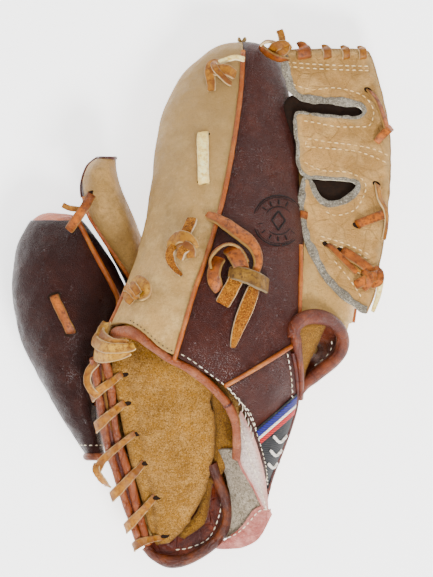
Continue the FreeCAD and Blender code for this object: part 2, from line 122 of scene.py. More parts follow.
# Outlines in plan, shared by the panels and their bindings.
LEFT_SEAM = [(24, 144.5), (23.6, 132), (22.2, 113), (18.4, 86), (12.4, 55), (2.9, 22), (-3, 5), (-14.5, -34)]
OPENING = [
    (-56, -17), (-47, -13.8), (-39, -14.5), (-31, -20), (-22, -28), (-12, -33), (0, -40), (9, -46),
    (15, -51), (20.5, -60), (24, -72), (24.5, -84)
]
STRAP_SEAM = [(13.5, -48.2), (32, -37.5), (50, -26.3), (58, -21)]
STRAP_LEFT = [
    (13.7, -49), (21, -57.5), (27.4, -69), (31.8, -82), (34.6, -94), (35.2, -104), (34.8, -112),
    (34.6, -118)
]
STRAP_RIGHT = [
    (50.2, -27), (52.6, -40), (53.6, -52), (52.6, -61), (50.0, -70), (46.6, -80), (43.4, -89), (40.0, -98),
    (37.6, -106), (36.0, -113), (35.6, -118)
]


# Curves and surfaces

def run_of(path):
    """The distance along a path to each of its points."""
    return np.r_[0, np.cumsum(np.linalg.norm(np.diff(path, axis=0), axis=1))]


def sample(at, run, values):
    """Rows of values, read at distances along a run."""
    return np.stack([np.interp(at, run, column) for column in values.T], axis=1)


def smooth(points, count, closed=False):
    """count points, evenly spaced, along a smooth line through the given ones."""
    p = np.array(points, float)
    ends = (p[-1:], p[:2]) if closed else (2 * p[:1] - p[1:2], 2 * p[-1:] - p[-2:-1])
    p = np.vstack([ends[0], p, ends[1]])
    t = np.linspace(0, 1, 24, endpoint=False)[:, None]
    fine = []
    for a, b, c, d in zip(p, p[1:], p[2:], p[3:]):
        fine.append(
            0.5 * (
                2 * b + (c - a) * t + (2 * a - 5 * b + 4 * c - d) * t**2 + (3 * b - a - 3 * c + d) * t**3
            )
        )
    fine = np.vstack(fine + [p[-2:-1]])
    run = run_of(fine)
    return sample(np.linspace(0, run[-1], count), run, fine)


def stand_in(piece, *nodes):
    """Hides the CAD nodes that a piece stands for."""
    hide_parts(*nodes)
    return piece


def ripple(points, wavelength, seed):
    """A smooth random value from -1 to 1 at each point, with bumps about a wavelength apart."""
    rng = np.random.default_rng(seed)
    points = np.asarray(points, float)
    total = np.zeros(points.shape[:-1])
    for _ in range(9):
        direction = rng.normal(size=3)
        direction /= np.linalg.norm(direction)
        turns = points @ direction * (2 * math.pi / wavelength) * rng.uniform(0.6, 1.5)
        total += np.sin(turns + rng.uniform(0, 2 * math.pi))
    return total / 5.0


def unit(v):
    """Vectors brought to length 1."""
    return v / np.maximum(np.linalg.norm(v, axis=-1, keepdims=True), 1e-9)


def turned(side, up, angle):
    """Two directions at right angles, turned about the third."""
    return side * np.cos(angle) + up * np.sin(angle), up * np.cos(angle) - side * np.sin(angle)


def grid_normals(grid):
    """Normals of a grid of points, from its neighbours."""
    return unit(np.cross(np.gradient(grid, axis=1), np.gradient(grid, axis=0)))


def laid(height, plan, lift):
    """Points over plan positions, lifted from the surface that height(x, y) gives, and its normals there."""
    plan = np.asarray(plan, float)
    x, y = plan[:, 0], plan[:, 1]
    z = height(x, y)
    slope_x = height(x + 0.5, y) - height(x - 0.5, y)
    slope_y = height(x, y + 0.5) - height(x, y - 0.5)
    normals = unit(np.stack([-slope_x, -slope_y, np.ones_like(z)], axis=1))
    return np.stack([x, y, z], axis=1) + normals * lift, normals


class Stall:
    """A leather tube with rounded sections, from its closed tip to its root."""

    def __init__(self, stations, power=2.15):
        self.rows = smooth(stations, 900)
        self.power = power
        self.widest = (self.rows[:, 2] - self.rows[:, 1]).max() / 2

    def section(self, s):
        """y, centre and half sizes at s, from 0 at the tip to 1 at the root."""
        at = np.asarray(s, float) * (len(self.rows) - 1)
        y, left, right, low, high = (np.interp(at, np.arange(len(self.rows)), c) for c in self.rows.T)
        return y, (left + right) / 2, (low + high) / 2, (right - left) / 2, (high - low) / 2

    def point(self, s, angle):
        """Points on the tube, at angles round it from the thumb's side over the top."""
        y, cx, cz, a, b = self.section(s)
        c, d = np.cos(angle), np.sin(angle)
        k = 2 / self.power
        x = cx + a * np.sign(c) * np.abs(c) ** k
        z = cz + b * np.sign(d) * np.abs(d) ** k
        return np.stack(np.broadcast_arrays(x, y, z), axis=-1)

    def s_at(self, y):
        """How far along the tube y is, from 0 at the tip to 1 at the root."""
        return np.interp(-np.asarray(y, float), -self.rows[:, 0], np.linspace(0, 1, len(self.rows)))

    def angle_at(self, s, x):
        """The angle of the upper point that stands over x, held steady near the closed tip."""
        _, cx, _, a, _ = self.section(s)
        across = np.clip((x - cx) / a, -0.999, 0.999)
        angle = np.arccos(np.sign(across) * np.abs(across) ** (self.power / 2))
        steady = np.asarray(a) > 0.6 * min(20, self.widest)
        return np.interp(s, np.asarray(s)[steady], angle[steady]) if np.ndim(s) else angle

    def height(self, x, y):
        """Height of the tube's back over a position in plan."""
        _, cx, cz, a, b = self.section(self.s_at(y))
        across = np.clip(np.abs((x - cx) / a), 0, 0.995)
        return cz + b * (1 - across**self.power) ** (1 / self.power)

    def on_top(self, plan, lift=0.0):
        """Points over plan positions on the tube's back, and the leather's normals there."""
        return laid(self.height, plan, lift)

    def panel(self, first, last, side_a, side_b, rows, columns):
        """Grid between two sides (angles as functions of s) and two ends (y as functions of x)."""
        fine = np.linspace(0, 1, 700)
        grid = []
        for w in np.linspace(0, 1, columns):
            angle = side_a(fine) * (1 - w) + side_b(fine) * w
            line = self.point(fine, angle)
            inside = (line[:, 1] <= first(line[:, 0])) & (line[:, 1] >= last(line[:, 0]))
            span = fine[inside]
            s = np.linspace(span[0], span[-1], rows)
            grid.append(self.point(s, np.interp(s, fine, angle)))
        return np.stack(grid, axis=1)


def constant(value):
    """A function that gives the same value everywhere."""
    return lambda x: np.full(np.shape(x), float(value))


def plan_line(points):
    """y as a smooth function of x, through points in plan."""
    line = smooth(points, 300)
    line = line[np.argsort(line[:, 0])]
    return lambda x: np.interp(x, line[:, 0], line[:, 1])


hand, thumb, pinky, ring = Stall(HAND), Stall(THUMB, 2.4), Stall(PINKY, 2.3), Stall(RING, 2.5)


# Meshes

def make_mesh(name, points, faces, look):
    """A piece from points in millimetres."""
    mesh = bpy.data.meshes.new(name)
    places = (np.asarray(points, float).reshape(-1, 3) + SHIFT) * MM
    mesh.from_pydata(places.tolist(), [], faces)
    mesh.materials.append(look)
    mesh.polygons.foreach_set("use_smooth", [True] * len(mesh.polygons))
    piece = bpy.data.objects.new(name, mesh)
    SCENE.collection.objects.link(piece)
    return piece


def settle(piece):
    """Applies a piece's modifiers, so that its mesh is final."""
    seen = bpy.context.evaluated_depsgraph_get()
    bpy.context.view_layer.update()
    done = bpy.data.meshes.new_from_object(piece.evaluated_get(seen))
    piece.modifiers.clear()
    piece.data = done
    return piece


def grid_faces(rows, columns, wrap=False):
    """Four-sided faces over a grid of points. wrap joins the last column to the first."""
    faces = []
    for i in range(rows - 1):
        for j in range(columns if wrap else columns - 1):
            k = (j + 1) % columns
            faces.append((i * columns + j, i * columns + k, (i + 1) * columns + k, (i + 1) * columns + j))
    return faces


def edge_distance(grid, reach=9.0):
    """For each point of a grid, its distance from the grid's border, as a share of reach."""
    step_i = np.linalg.norm(np.diff(grid, axis=0), axis=2)
    step_j = np.linalg.norm(np.diff(grid, axis=1), axis=2)
    down = np.vstack([np.zeros(grid.shape[1]), np.cumsum(step_i, axis=0)])
    along = np.hstack([np.zeros((grid.shape[0], 1)), np.cumsum(step_j, axis=1)])
    nearest = np.minimum.reduce([down, down[-1] - down, along, along[:, -1:] - along])
    return np.clip(nearest / reach, 0, 1)


def mark_edge(piece, values):
    """Keeps, for each point, a value that is 0 at the piece's edge. Its material reads it."""
    edge = piece.data.attributes.new("edge", "FLOAT", "POINT")
    edge.data.foreach_set("value", values.ravel())


def surface(name, grid, look, thickness=LEATHER, offset=-1.0):
    """A sheet of leather over a grid of points: thick, with soft edges, its grid side outwards."""
    rows, columns = grid.shape[:2]
    piece = make_mesh(name, grid, grid_faces(rows, columns), look)
    mark_edge(piece, edge_distance(grid))
    solid = piece.modifiers.new("thickness", "SOLIDIFY")
    solid.thickness = thickness * MM
    solid.offset = offset
    solid.use_even_offset = False
    fine = piece.modifiers.new("smooth", "SUBSURF")
    fine.levels = fine.render_levels = 1
    return settle(piece)


def soften(grid, *layers):
    """Gives a grid the slight unevenness of worked leather. A layer is (amount, wavelength, seed)."""
    for amount, wavelength, seed in layers:
        fade = np.clip(edge_distance(grid, 6.0) + 0.25, 0, 1)
        grid = grid + grid_normals(grid) * (ripple(grid, wavelength, seed) * amount * fade)[..., None]
    return grid


def tucked(stall, grid):
    """Draws a lower panel's two sides in under the upper panels' turned-in edges."""
    _, centre_x, centre_z, _, _ = stall.section(stall.s_at(grid[..., 1]))
    inward = np.stack([centre_x - grid[..., 0], np.zeros_like(centre_x), centre_z - grid[..., 2]], axis=-1)
    around = np.linspace(0, math.pi, grid.shape[1])
    share = np.clip((0.34 - np.minimum(around, math.pi - around)) / 0.1, 0, 1)
    return grid + unit(inward) * (share * TUCK_DEPTH)[None, :, None]


def frames(path, up):
    """Side and lift along a path. With no up given, the side turns as little as it can."""
    direction = unit(np.gradient(path, axis=0))
    if up is None:
        side = np.zeros_like(path)
        last = np.cross(direction[0], [0.1, 0.2, 1.0])
        for i, d in enumerate(direction):
            last = unit(last - d * (last @ d))
            side[i] = last
    else:
        side = unit(np.cross(direction, np.broadcast_to(up, path.shape)))
    return side, np.cross(side, direction)


def tube_faces(rows, columns):
    """Sides and two closed ends of a tube."""
    faces = grid_faces(rows, columns, wrap=True)
    faces.append(tuple(range(columns)))
    faces.append(tuple(reversed(range((rows - 1) * columns, rows * columns))))
    return faces


def tube_points(path, side, lift, size, sides, flat=1.0):
    """Rings of points round a path."""
    angles = np.linspace(0, 2 * math.pi, sides, endpoint=False)
    out = side[:, None] * (np.cos(angles)[None, :, None] * size[:, None, None])
    up = lift[:, None] * (np.sin(angles)[None, :, None] * size[:, None, None] * flat)
    return path[:, None] + out + up


def roll(name, path, radius, look, count=0, sides=14, wobble=0.05, flat=1.0, up=None, seed=3):
    """A rolled edge, piping or cord along a path. flat squeezes it."""
    path = smooth(path, count) if count else np.asarray(path, float)
    side, lift = frames(path, up)
    size = radius * (1 + wobble * ripple(path, np.mean(radius) * 7, seed))
    return make_mesh(
        name, tube_points(path, side, lift, size, sides, flat), tube_faces(len(path), sides), look
    )


LACE_SECTION = [
    (-1, -0.5), (-0.97, -0.9), (-0.8, -1), (-0.3, -1), (0.3, -1), (0.8, -1), (0.97, -0.9), (1, -0.5),
    (1, 0.4), (0.97, 0.85), (0.82, 1.02), (0.3, 0.94), (-0.3, 0.94), (-0.82, 1.02), (-0.97, 0.85), (-1, 0.4)
]


def lace(name, path, look, up, width, thickness, count=40, seed=5, cup=0.22):
    """A flat lace along a path. up and width are one value or one for each point. cup bends its edges."""
    ups = np.broadcast_to(np.asarray(up, float), (len(path), 3))
    widths = np.broadcast_to(np.asarray(width, float), len(path))[:, None]
    both = smooth(np.hstack([np.asarray(path, float), unit(ups) * 0.01, widths]), count)
    line, up_line = both[:, :3], unit(both[:, 3:6])
    side, lift = frames(line, up_line)
    share = np.linspace(0, 1, count)
    near = np.minimum(share, 1 - share) * count
    ending = np.where(near < 1, 0.86, 1.0)
    half = both[:, 6] / 2 * ending * (1 + 0.06 * ripple(line, 9.0, seed))
    deep = thickness / 2 * ending * (1 + 0.14 * ripple(line, 7.0, seed + 1))
    turn = ripple(line, 16.0, seed + 3) * 0.13
    side, lift = turned(side, lift, turn[:, None])
    across = np.array(LACE_SECTION)
    drop = cup * np.abs(across[:, 0]) ** 2 * np.clip(half[:, None] / 3, 0, 1.4)
    points = (
        line[:, None]
        + side[:, None] * (across[None, :, :1] * half[:, None, None])
        + lift[:, None] * (across[None, :, 1:] * deep[:, None, None] - drop[..., None])
    )
    points = points + ripple(points, 2.6, seed + 2)[..., None] * 0.09
    piece = make_mesh(name, points, tube_faces(count, len(across)), look)
    band = np.broadcast_to(np.abs(across[:, 0])[None], (count, len(across)))
    mark_edge(piece, 1 - band**3)
    return piece


def joined(name, pieces):
    """Several pieces as one."""
    mesh_builder = bmesh.new()
    looks = []
    for piece in pieces:
        start = len(mesh_builder.faces)
        mesh_builder.from_mesh(piece.data)
        look = piece.data.materials[0]
        if look not in looks:
            looks.append(look)
        mesh_builder.faces.ensure_lookup_table()
        for face in mesh_builder.faces[start:]:
            face.material_index = looks.index(look)
    mesh = bpy.data.meshes.new(name)
    mesh_builder.to_mesh(mesh)
    mesh_builder.free()
    for look in looks:
        mesh.materials.append(look)
    whole = bpy.data.objects.new(name, mesh)
    SCENE.collection.objects.link(whole)
    for piece in pieces:
        bpy.data.objects.remove(piece, do_unlink=True)
    return whole


def stitches(name, path, normals, look, length, gap, lift, slant=0.0, width=THREAD, seed=11):
    """A row of sewn stitches: short rounded threads along a path, each end sunk in the leather."""
    rng = np.random.default_rng(seed)
    path, normals = np.asarray(path, float), np.broadcast_to(normals, np.shape(path))
    run = run_of(path)
    starts = np.arange(gap / 2, run[-1] - length, length + gap)
    sides, rings = 6, 7
    points, faces = [], []
    for start in starts:
        at = np.linspace(start, start + length * rng.uniform(0.9, 1.05), rings)
        line = sample(at, run, path)
        up = unit(sample(at, run, normals))
        along = unit(line[-1] - line[0])
        side = unit(np.cross(along, up))
        arch = np.sin(np.linspace(0, math.pi, rings))
        share = np.linspace(-0.5, 0.5, rings)
        line = line + up * (lift * 2 * arch - 0.2)[:, None] + side * (slant * share)[:, None]
        size = width * (0.55 + 0.45 * arch) * rng.uniform(0.9, 1.1)
        base = len(points) * rings * sides
        points.append(tube_points(line, np.broadcast_to(side, line.shape), up, size, sides))
        faces += [tuple(base + k for k in face) for face in tube_faces(rings, sides)]
    return make_mesh(name, np.array(points), faces, look)


def fuzz(name, path, outward, look, count, reach, spread, seed):
    """Loose fibres along a raw edge, as thin three-sided spikes."""
    rng = np.random.default_rng(seed)
    path, outward = np.asarray(path, float), np.broadcast_to(outward, np.shape(path))
    at = rng.uniform(0, len(path) - 1, count)
    index = np.arange(len(path))
    away = sample(at, index, outward)
    roots = sample(at, index, path) + rng.uniform(-1, 1, (count, 3)) * [0.3, 0.3, spread]
    tips = roots + unit(away + rng.normal(0, 0.6, (count, 3))) * (reach * rng.uniform(0.4, 1.3, (count, 1)))
    across = unit(np.cross(tips - roots, rng.normal(size=(count, 3)))) * 0.11
    third = unit(np.cross(tips - roots, across)) * 0.11
    points = np.stack(
        [roots + across, roots - across * 0.5 + third, roots - across * 0.5 - third, tips], axis=1
    )
    faces = []
    for k in range(count):
        b = 4 * k
        faces += [(b, b + 1, b + 3), (b + 1, b + 2, b + 3), (b + 2, b, b + 3), (b, b + 2, b + 1)]
    return make_mesh(name, points, faces, look)


# Materials

RICHER = 1.45  # the view transform pales strong light, so colours start out richer


def rgb(code):
    """A linear colour from a hex code, its saturation raised."""
    parts = [int(code[i:i + 2], 16) / 255 for i in (1, 3, 5)]
    linear = [c / 12.92 if c <= 0.04045 else ((c + 0.055) / 1.055) ** 2.4 for c in parts]
    grey = sum(linear) / 3
    return tuple(max(0.002, grey + (c - grey) * RICHER) for c in linear) + (1.0,)


class Look:
    """A material, with short ways to add nodes. Sizes of patterns are in millimetres."""

    def __init__(self, name, **sockets):
        self.material = bpy.data.materials.new(name)
        self.material.use_nodes = True
        self.tree = self.material.node_tree
        self.shader = self.tree.nodes["Principled BSDF"]
        for socket, value in sockets.items():
            self.shader.inputs[socket.replace("_", " ")].default_value = value
        self.place = self.tree.nodes.new("ShaderNodeTexCoord").outputs["Object"]

    def feed(self, target, value):
        """Gives an input a link or a constant."""
        if isinstance(value, bpy.types.NodeSocket):
            self.tree.links.new(value, target)
        else:
            target.default_value = value

    def add(self, kind, **sockets):
        node = self.tree.nodes.new(kind)
        for socket, value in sockets.items():
            self.feed(node.inputs[socket], value)
        return node

    def noise(self, size, detail, roughness=0.55, stretch=None):
        place = self.place
        if stretch:
            place = self.add("ShaderNodeMapping", Vector=place, Scale=stretch).outputs[0]
        node = self.add(
            "ShaderNodeTexNoise", Vector=place, Scale=1000 / size, Detail=detail, Roughness=roughness
        )
        return node.outputs["Fac"]

    def cells(self, size, warp=0.0):
        """Distance from the cracks between cells."""
        place = self.place
        if warp:
            bend = self.add("ShaderNodeTexNoise", Vector=place, Scale=1000 / (size * 2.5), Detail=2.0)
            push = self.add("ShaderNodeVectorMath")
            push.operation = "MULTIPLY_ADD"
            self.tree.links.new(bend.outputs["Color"], push.inputs[0])
            push.inputs[1].default_value = (warp * MM,) * 3
            self.tree.links.new(place, push.inputs[2])
            place = push.outputs[0]
        node = self.add("ShaderNodeTexVoronoi", Vector=place, Scale=1000 / size)
        node.feature = "DISTANCE_TO_EDGE"
        return node.outputs["Distance"]

    def range(self, value, low, high, to_low=0.0, to_high=1.0):
        names = {"From Min": low, "From Max": high, "To Min": to_low, "To Max": to_high}
        return self.add("ShaderNodeMapRange", Value=value, **names).outputs[0]

    def math(self, operation, a, b):
        node = self.tree.nodes.new("ShaderNodeMath")
        node.operation = operation
        self.feed(node.inputs[0], a)
        self.feed(node.inputs[1], b)
        return node.outputs[0]

    def mix(self, amount, a, b):
        node = self.tree.nodes.new("ShaderNodeMix")
        node.data_type = "RGBA"
        for socket, value in ((0, amount), (6, a), (7, b)):
            self.feed(node.inputs[socket], value)
        return node.outputs[2]

    def raised(self, low, high):
        """How far a place stands out from what is round it."""
        node = self.tree.nodes.new("ShaderNodeNewGeometry")
        return self.range(node.outputs["Pointiness"], low, high)

    def edge(self):
        """0 at a panel's edge, 1 inside it."""
        node = self.tree.nodes.new("ShaderNodeAttribute")
        node.attribute_name = "edge"
        return node.outputs["Fac"]

    def finish(self, colour, bumps, roughness):
        """Joins up the shader. bumps is a list of (height, depth in millimetres)."""
        links = self.tree.links
        links.new(colour, self.shader.inputs["Base Color"])
        normal = None
        for height, depth in bumps:
            bump = self.add("ShaderNodeBump", Height=height, Strength=1.0, Distance=depth * MM)
            if normal:
                links.new(normal, bump.inputs["Normal"])
            normal = bump.outputs[0]
        links.new(normal, self.shader.inputs["Normal"])
        self.feed(self.shader.inputs["Roughness"], roughness)
        return self.material


def leather(name, base, dark, light, grain, depth, wrinkle, gloss, edge_tone, wear, painted_shade=0.0, shine=0.4):
    """Tanned leather: mottled, grained, creased and worn where it stands out, its pale flecks partly painted
    glints. Painted shade darkens its hollows and can darken its far end, towards the fingertips, where the
    light falls off.
    """
    look = Look(name, Specular_IOR_Level=shine)
    base, dark, light = rgb(base), rgb(dark), rgb(light)
    colour = look.mix(look.range(look.noise(42, 4), 0.36, 0.66, 0.0, 0.8), base, dark)
    colour = look.mix(look.range(look.noise(11, 4, 0.65), 0.46, 0.72, 0.0, 0.65), colour, light)
    colour = look.mix(look.range(look.noise(1.6, 3, 0.8), 0.5, 0.68, 0.0, 0.55), colour, dark)
    # pale flecks of the grain, partly painted glints of its small highlights
    colour = look.mix(look.range(look.noise(1.3, 3, 0.8), 0.55, 0.72, 0.0, 0.4), colour, light)
    cracks = look.cells(13, warp=9.0)
    colour = look.mix(look.range(cracks, 0.0, 0.035, wrinkle, 0.0), colour, dark)
    # painted shade: darker towards the fingertips, where the light falls off
    if painted_shade:
        along = look.add("ShaderNodeSeparateXYZ", Vector=look.place).outputs["Y"]
        colour = look.mix(look.range(along, -0.02, 0.13, 0.0, painted_shade), colour, dark)
    if edge_tone:
        rim = look.math("ADD", look.edge(), look.range(look.noise(4, 3), 0.3, 0.7, -0.25, 0.25))
        colour = look.mix(look.range(rim, 0.0, 0.5, 0.7, 0.0), colour, rgb(edge_tone))
    colour = look.mix(look.math("MULTIPLY", look.raised(0.51, 0.58), wear), colour, light)
    # painted shade: hollows darkened where less light reaches
    colour = look.mix(look.math("MULTIPLY", look.raised(0.49, 0.43), 0.8), colour, dark)
    pebbles = look.range(look.cells(grain), 0.0, 0.22)
    bumps = [
        (look.noise(14, 3), wrinkle * 2), (look.range(cracks, 0.0, 0.05), wrinkle * 0.5),
        (look.noise(2.6, 3), 0.3), (pebbles, depth)
    ]
    return look.finish(colour, bumps, look.range(look.noise(6, 4), 0.3, 0.7, gloss - 0.07, gloss + 0.16))


def nap(name, base, dark, light, fibre, sheen, depth, edge_tone=None, fleck=0.5):
    """Suede, felt or a raw cut edge: fibrous and dull, flecked with darker and lighter fibres."""
    look = Look(name, Specular_IOR_Level=0.12, Sheen_Weight=sheen, Sheen_Roughness=0.6)
    base, dark, light = rgb(base), rgb(dark), rgb(light)
    colour = look.mix(look.range(look.noise(34, 5, 0.6), 0.34, 0.6, 0.7, 0.0), base, dark)
    colour = look.mix(look.range(look.noise(7, 5, 0.75), 0.45, 0.75, 0.0, 0.6), colour, light)
    colour = look.mix(look.range(look.noise(fibre, 2, 0.9), 0.40, 0.52, 0.9, 0.0), colour, dark)
    colour = look.mix(look.range(look.noise(fibre * 0.85, 2, 0.9), 0.54, 0.66, 0.0, fleck), colour, light)
    if edge_tone:
        colour = look.mix(look.range(look.edge(), 0.0, 0.35, 0.8, 0.0), colour, rgb(edge_tone))
    bumps = [(look.noise(9, 4), 1.2), (look.noise(2.2, 4, 0.7), 0.7), (look.noise(fibre, 4, 0.8), depth)]
    return look.finish(colour, bumps, 0.92)


def lace_look(name, pale, deep, rim, soil_and_shade="#5E381C"):
    """Rawhide lace: waxy colours, fibrous cut edges, dark handling marks, and painted shade in its hollows.
    """
    look = Look(name, Specular_IOR_Level=0.3)
    colour = look.mix(look.range(look.noise(14, 3), 0.38, 0.62), rgb(pale), rgb(deep))
    colour = look.mix(look.range(look.noise(3.4, 4, 0.7), 0.46, 0.7, 0.0, 0.75), colour, rgb(deep))
    colour = look.mix(look.range(look.noise(2.4, 4, 0.7), 0.48, 0.64, 0.0, 0.8), colour, rgb(soil_and_shade))
    colour = look.mix(look.range(look.edge(), 0.05, 0.5, 0.85, 0.0), colour, rgb(rim))
    # painted shade: hollows darkened with the soil colour where less light reaches
    colour = look.mix(look.math("MULTIPLY", look.raised(0.49, 0.42), 0.95), colour, rgb(soil_and_shade))
    bumps = [(look.noise(3.4, 4), 0.5), (look.noise(0.9, 3, 0.7, stretch=(1, 0.35, 1)), 0.3)]
    return look.finish(colour, bumps, look.range(look.noise(5, 3), 0.3, 0.7, 0.36, 0.6))


def thread_look(name, base, dark):
    look = Look(name, Specular_IOR_Level=0.3, Sheen_Weight=0.2)
    twist = look.add("ShaderNodeTexWave", Vector=look.place, Scale=900.0, Distortion=2.0).outputs["Fac"]
    colour = look.mix(look.range(look.noise(6, 3), 0.35, 0.7), rgb(base), rgb(dark))
    return look.finish(colour, [(twist, 0.12)], 0.7)


def woven_look(name, base, dark):
    """Ribbon weave of the label."""
    look = Look(name, Specular_IOR_Level=0.25)
    across = look.add("ShaderNodeTexWave", Vector=look.place, Scale=1000 / WEAVE / 6.28, Distortion=0.3)
    across.bands_direction = "DIAGONAL"
    threads = across.outputs["Fac"]
    colour = look.mix(look.range(threads, 0.2, 0.8), rgb(dark), rgb(base))
    colour = look.mix(look.range(look.noise(3, 4, 0.7), 0.55, 0.8, 0.0, 0.15), colour, rgb("#8C8478"))
    return look.finish(colour, [(threads, 0.12)], 0.62)


def shell_look(name, base, dark, roughness):
    """Plain dull stuff such as ink, or the painted shadow inside a hole."""
    look = Look(name, Specular_IOR_Level=0.2)
    colour = look.mix(look.range(look.noise(2.0, 4, 0.7), 0.35, 0.7), rgb(base), rgb(dark))
    return look.finish(colour, [(look.noise(1.0, 3), 0.08)], roughness)


RING_LOOK = leather(
    "ring_leather", "#A3855F", "#6E5A40", "#C2A27A", 0.8, 0.17, 0.16, 0.50, "#6E5A40", 0.35, 0, 0.3
)
# the tan leather carries painted shade towards the fingertips
TAN = leather(
    "tan_leather", "#BF9E74", "#8A7354", "#DCC096", 0.8, 0.17, 0.16, 0.50, "#8A7452", 0.35, 0.8, 0.3
)
BROWN = leather(
    "brown_leather", "#381F1B", "#2A1412", "#472821", 1.0, 0.26, 0.10, 0.33, "#20100C", 0.5, 0, 0.22
)
PINKY_LOOK = leather(
    "pinky_leather", "#2A1614", "#1E0E0C", "#38201B", 1.0, 0.28, 0.10, 0.34, "#1A0C08", 0.4, 0, 0.2
)
WEB_TAN = leather(
    "web_leather", "#B49068", "#7E6242", "#DAB88C", 0.9, 0.24, 0.45, 0.52, "#86745A", 0.35, 0, 0.3
)
BINDING_LOOK = leather("binding_leather", "#8A5038", "#4E281A", "#C08A70", 0.9, 0.16, 0.4, 0.32, None, 0.8)
# the binding leather made darker for the finger hole: partly its own tone, partly painted shade
HOLE_SHADED_LOOK = leather("hole_binding_leather_shaded", "#5E3020", "#32160E", "#94583F", 0.9, 0.16, 0.4, 0.36, None, 0.7)
ROLL_LOOK = leather("roll_leather", "#8C5238", "#4A2416", "#C48A6C", 0.9, 0.16, 0.45, 0.30, None, 0.8)
BOTTOM_LOOK = leather("bottom_leather", "#4C2616", "#2C140C", "#8A5236", 0.9, 0.16, 0.4, 0.32, None, 0.7)
PINK_BINDING = leather("worn_binding", "#A86A62", "#6C3A34", "#DCAAA0", 0.9, 0.12, 0.4, 0.38, None, 0.7)
PIPING_LOOK = leather("piping_leather", "#9E6038", "#683820", "#CC9468", 0.9, 0.08, 0.2, 0.36, None, 0.6)
FACING_LOOK = leather("facing_leather", "#48200F", "#2C1209", "#7E4228", 0.9, 0.14, 0.4, 0.34, None, 0.6)
CAP_LOOK = leather("cap_leather", "#A85E3C", "#703622", "#D49472", 0.9, 0.10, 0.3, 0.42, None, 0.6)
SUEDE = nap("suede", "#946E44", "#5A4026", "#CCA87C", 0.95, 0.06, 0.9, "#5E4226", 0.6)
# the liner's suede made darker, as painted shade for the layers that lie in shadow
SHADED_SUEDE = nap("suede_in_painted_shade", "#805C36", "#4C341C", "#B08C5C", 1.0, 0.06, 0.9, "#4C341C", 0.7)
FELT_LOOK = nap("felt", "#968C7E", "#605646", "#C8BEB0", 1.5, 0.12, 1.0)
STRIP_LOOK = nap("strap_lining", "#D8C8C0", "#A8958C", "#F2E8E2", 1.2, 0.2, 0.5, "#B88A80", 0.4)
RAW = nap("raw_edge", "#8C8476", "#524A3E", "#D0CABC", 1.1, 0.2, 0.9, None, 0.8)
LACE = lace_look("rawhide_lace", "#A4784A", "#66421F", "#E2CEA8")
LACE_HONEY = lace_look("lace_honey", "#C29C64", "#8A6434", "#E2CCA0")
LACE_PALE = lace_look("lace_pale", "#FFF6C8", "#F6E0A2", "#FFF8DC", "#C8A468")
LACE_ORANGE = lace_look("lace_orange", "#A8682C", "#70421A", "#A48860", "#3E220C")
LACE_SUEDE = nap("lace_suede", "#8A582C", "#472A12", "#C8945C", 1.0, 0.06, 0.8, "#D8C8AC", 0.8)
LACE_GREY = lace_look("lace_grey", "#84653E", "#563E22", "#A89A80", "#352210")
THREAD_WHITE = thread_look("white_thread", "#FFF8EA", "#D8CCB0")
THREAD_DARK = thread_look("dark_thread", "#3A2818", "#20140A")
THREAD_TAN = thread_look("tan_thread", "#F6E2BC", "#D4B484")
LABEL_BLACK = woven_look("label_black", "#080B10", "#030406")
LABEL_BLUE = woven_look("label_blue", "#10106A", "#080838")
LABEL_WHITE = woven_look("label_white", "#E4E0DA", "#B4AEA4")
LABEL_RED = woven_look("label_red", "#A82422", "#6A1414")
INK = shell_look("ink", "#0C0808", "#160E0C", 0.6)
# painted shadow, for the insides of holes and slots and the deep inside of the web
PAINTED_SHADOW = shell_look("painted_shadow", "#150E0A", "#22160F", 0.95)


# Pieces of the hand

def seam_over(stall, seam, count):
    """The angle round a stall at which its seam, a line in plan, runs. It is a function of s."""
    line = smooth(seam, count)
    return lambda s: stall.angle_at(s, np.interp(-stall.section(s)[0], -line[:, 1], line[:, 0]))


NO_LIMIT = constant(400.0)
UNDER_LEFT = math.pi + 0.22  # back panels turn in a little under the widest line
UNDER_RIGHT = -0.22
OPENING_Y = plan_line(OPENING)
BROWN_END_Y = plan_line([(-14.5, -31.6), (-8, -35.4), (0, -40), (9, -46)] + STRAP_SEAM)


def palm_skin():
    """The palm: the whole lower half of the hand's tube, creased by use."""
    grid = hand.panel(NO_LIMIT, constant(-400), constant(math.pi), constant(2 * math.pi), 130, 80)
    grid = soften(grid, (0.5, 34, 31), (0.3, 11, 32))
    return stand_in(surface("palm_skin", tucked(hand, grid), TAN), "palm_panel", "index_stall_front")


def back_panels():
    seam = seam_over(hand, LEFT_SEAM, 300)
    tan = hand.panel(NO_LIMIT, OPENING_Y, constant(UNDER_LEFT), seam, 150, 60)
    tan_piece = stand_in(
        surface("back_tan", soften(tan, (0.55, 30, 41), (0.12, 8, 42))[:, ::-1], TAN), "back_panel_tan"
    )
    brown = hand.panel(NO_LIMIT, BROWN_END_Y, seam, constant(UNDER_RIGHT), 150, 60)
    brown_piece = stand_in(
        surface("back_brown", soften(brown, (0.5, 30, 43), (0.12, 8, 44))[:, ::-1], BROWN),
        "back_panel_brown"
    )
    return [tan_piece, brown_piece]


def between(left, right, rows, columns):
    """Grid between two lines."""
    share = np.linspace(0, 1, columns)[None, :, None]
    return smooth(left, rows)[:, None] * (1 - share) + smooth(right, rows)[:, None] * share


def outwards(grid):
    """The grid with its upper side facing outwards."""
    return grid if grid_normals(grid)[..., 2].mean() > 0 else grid[:, ::-1]


def wrist_strap():
    plan = between(STRAP_LEFT, STRAP_RIGHT, 70, 26)
    points, _ = hand.on_top(plan.reshape(-1, 2), 0.4)
    grid = soften(points.reshape(70, 26, 3), (0.4, 20, 51))
    return stand_in(surface("strap", outwards(grid), BROWN, 2.6), "wrist_strap")


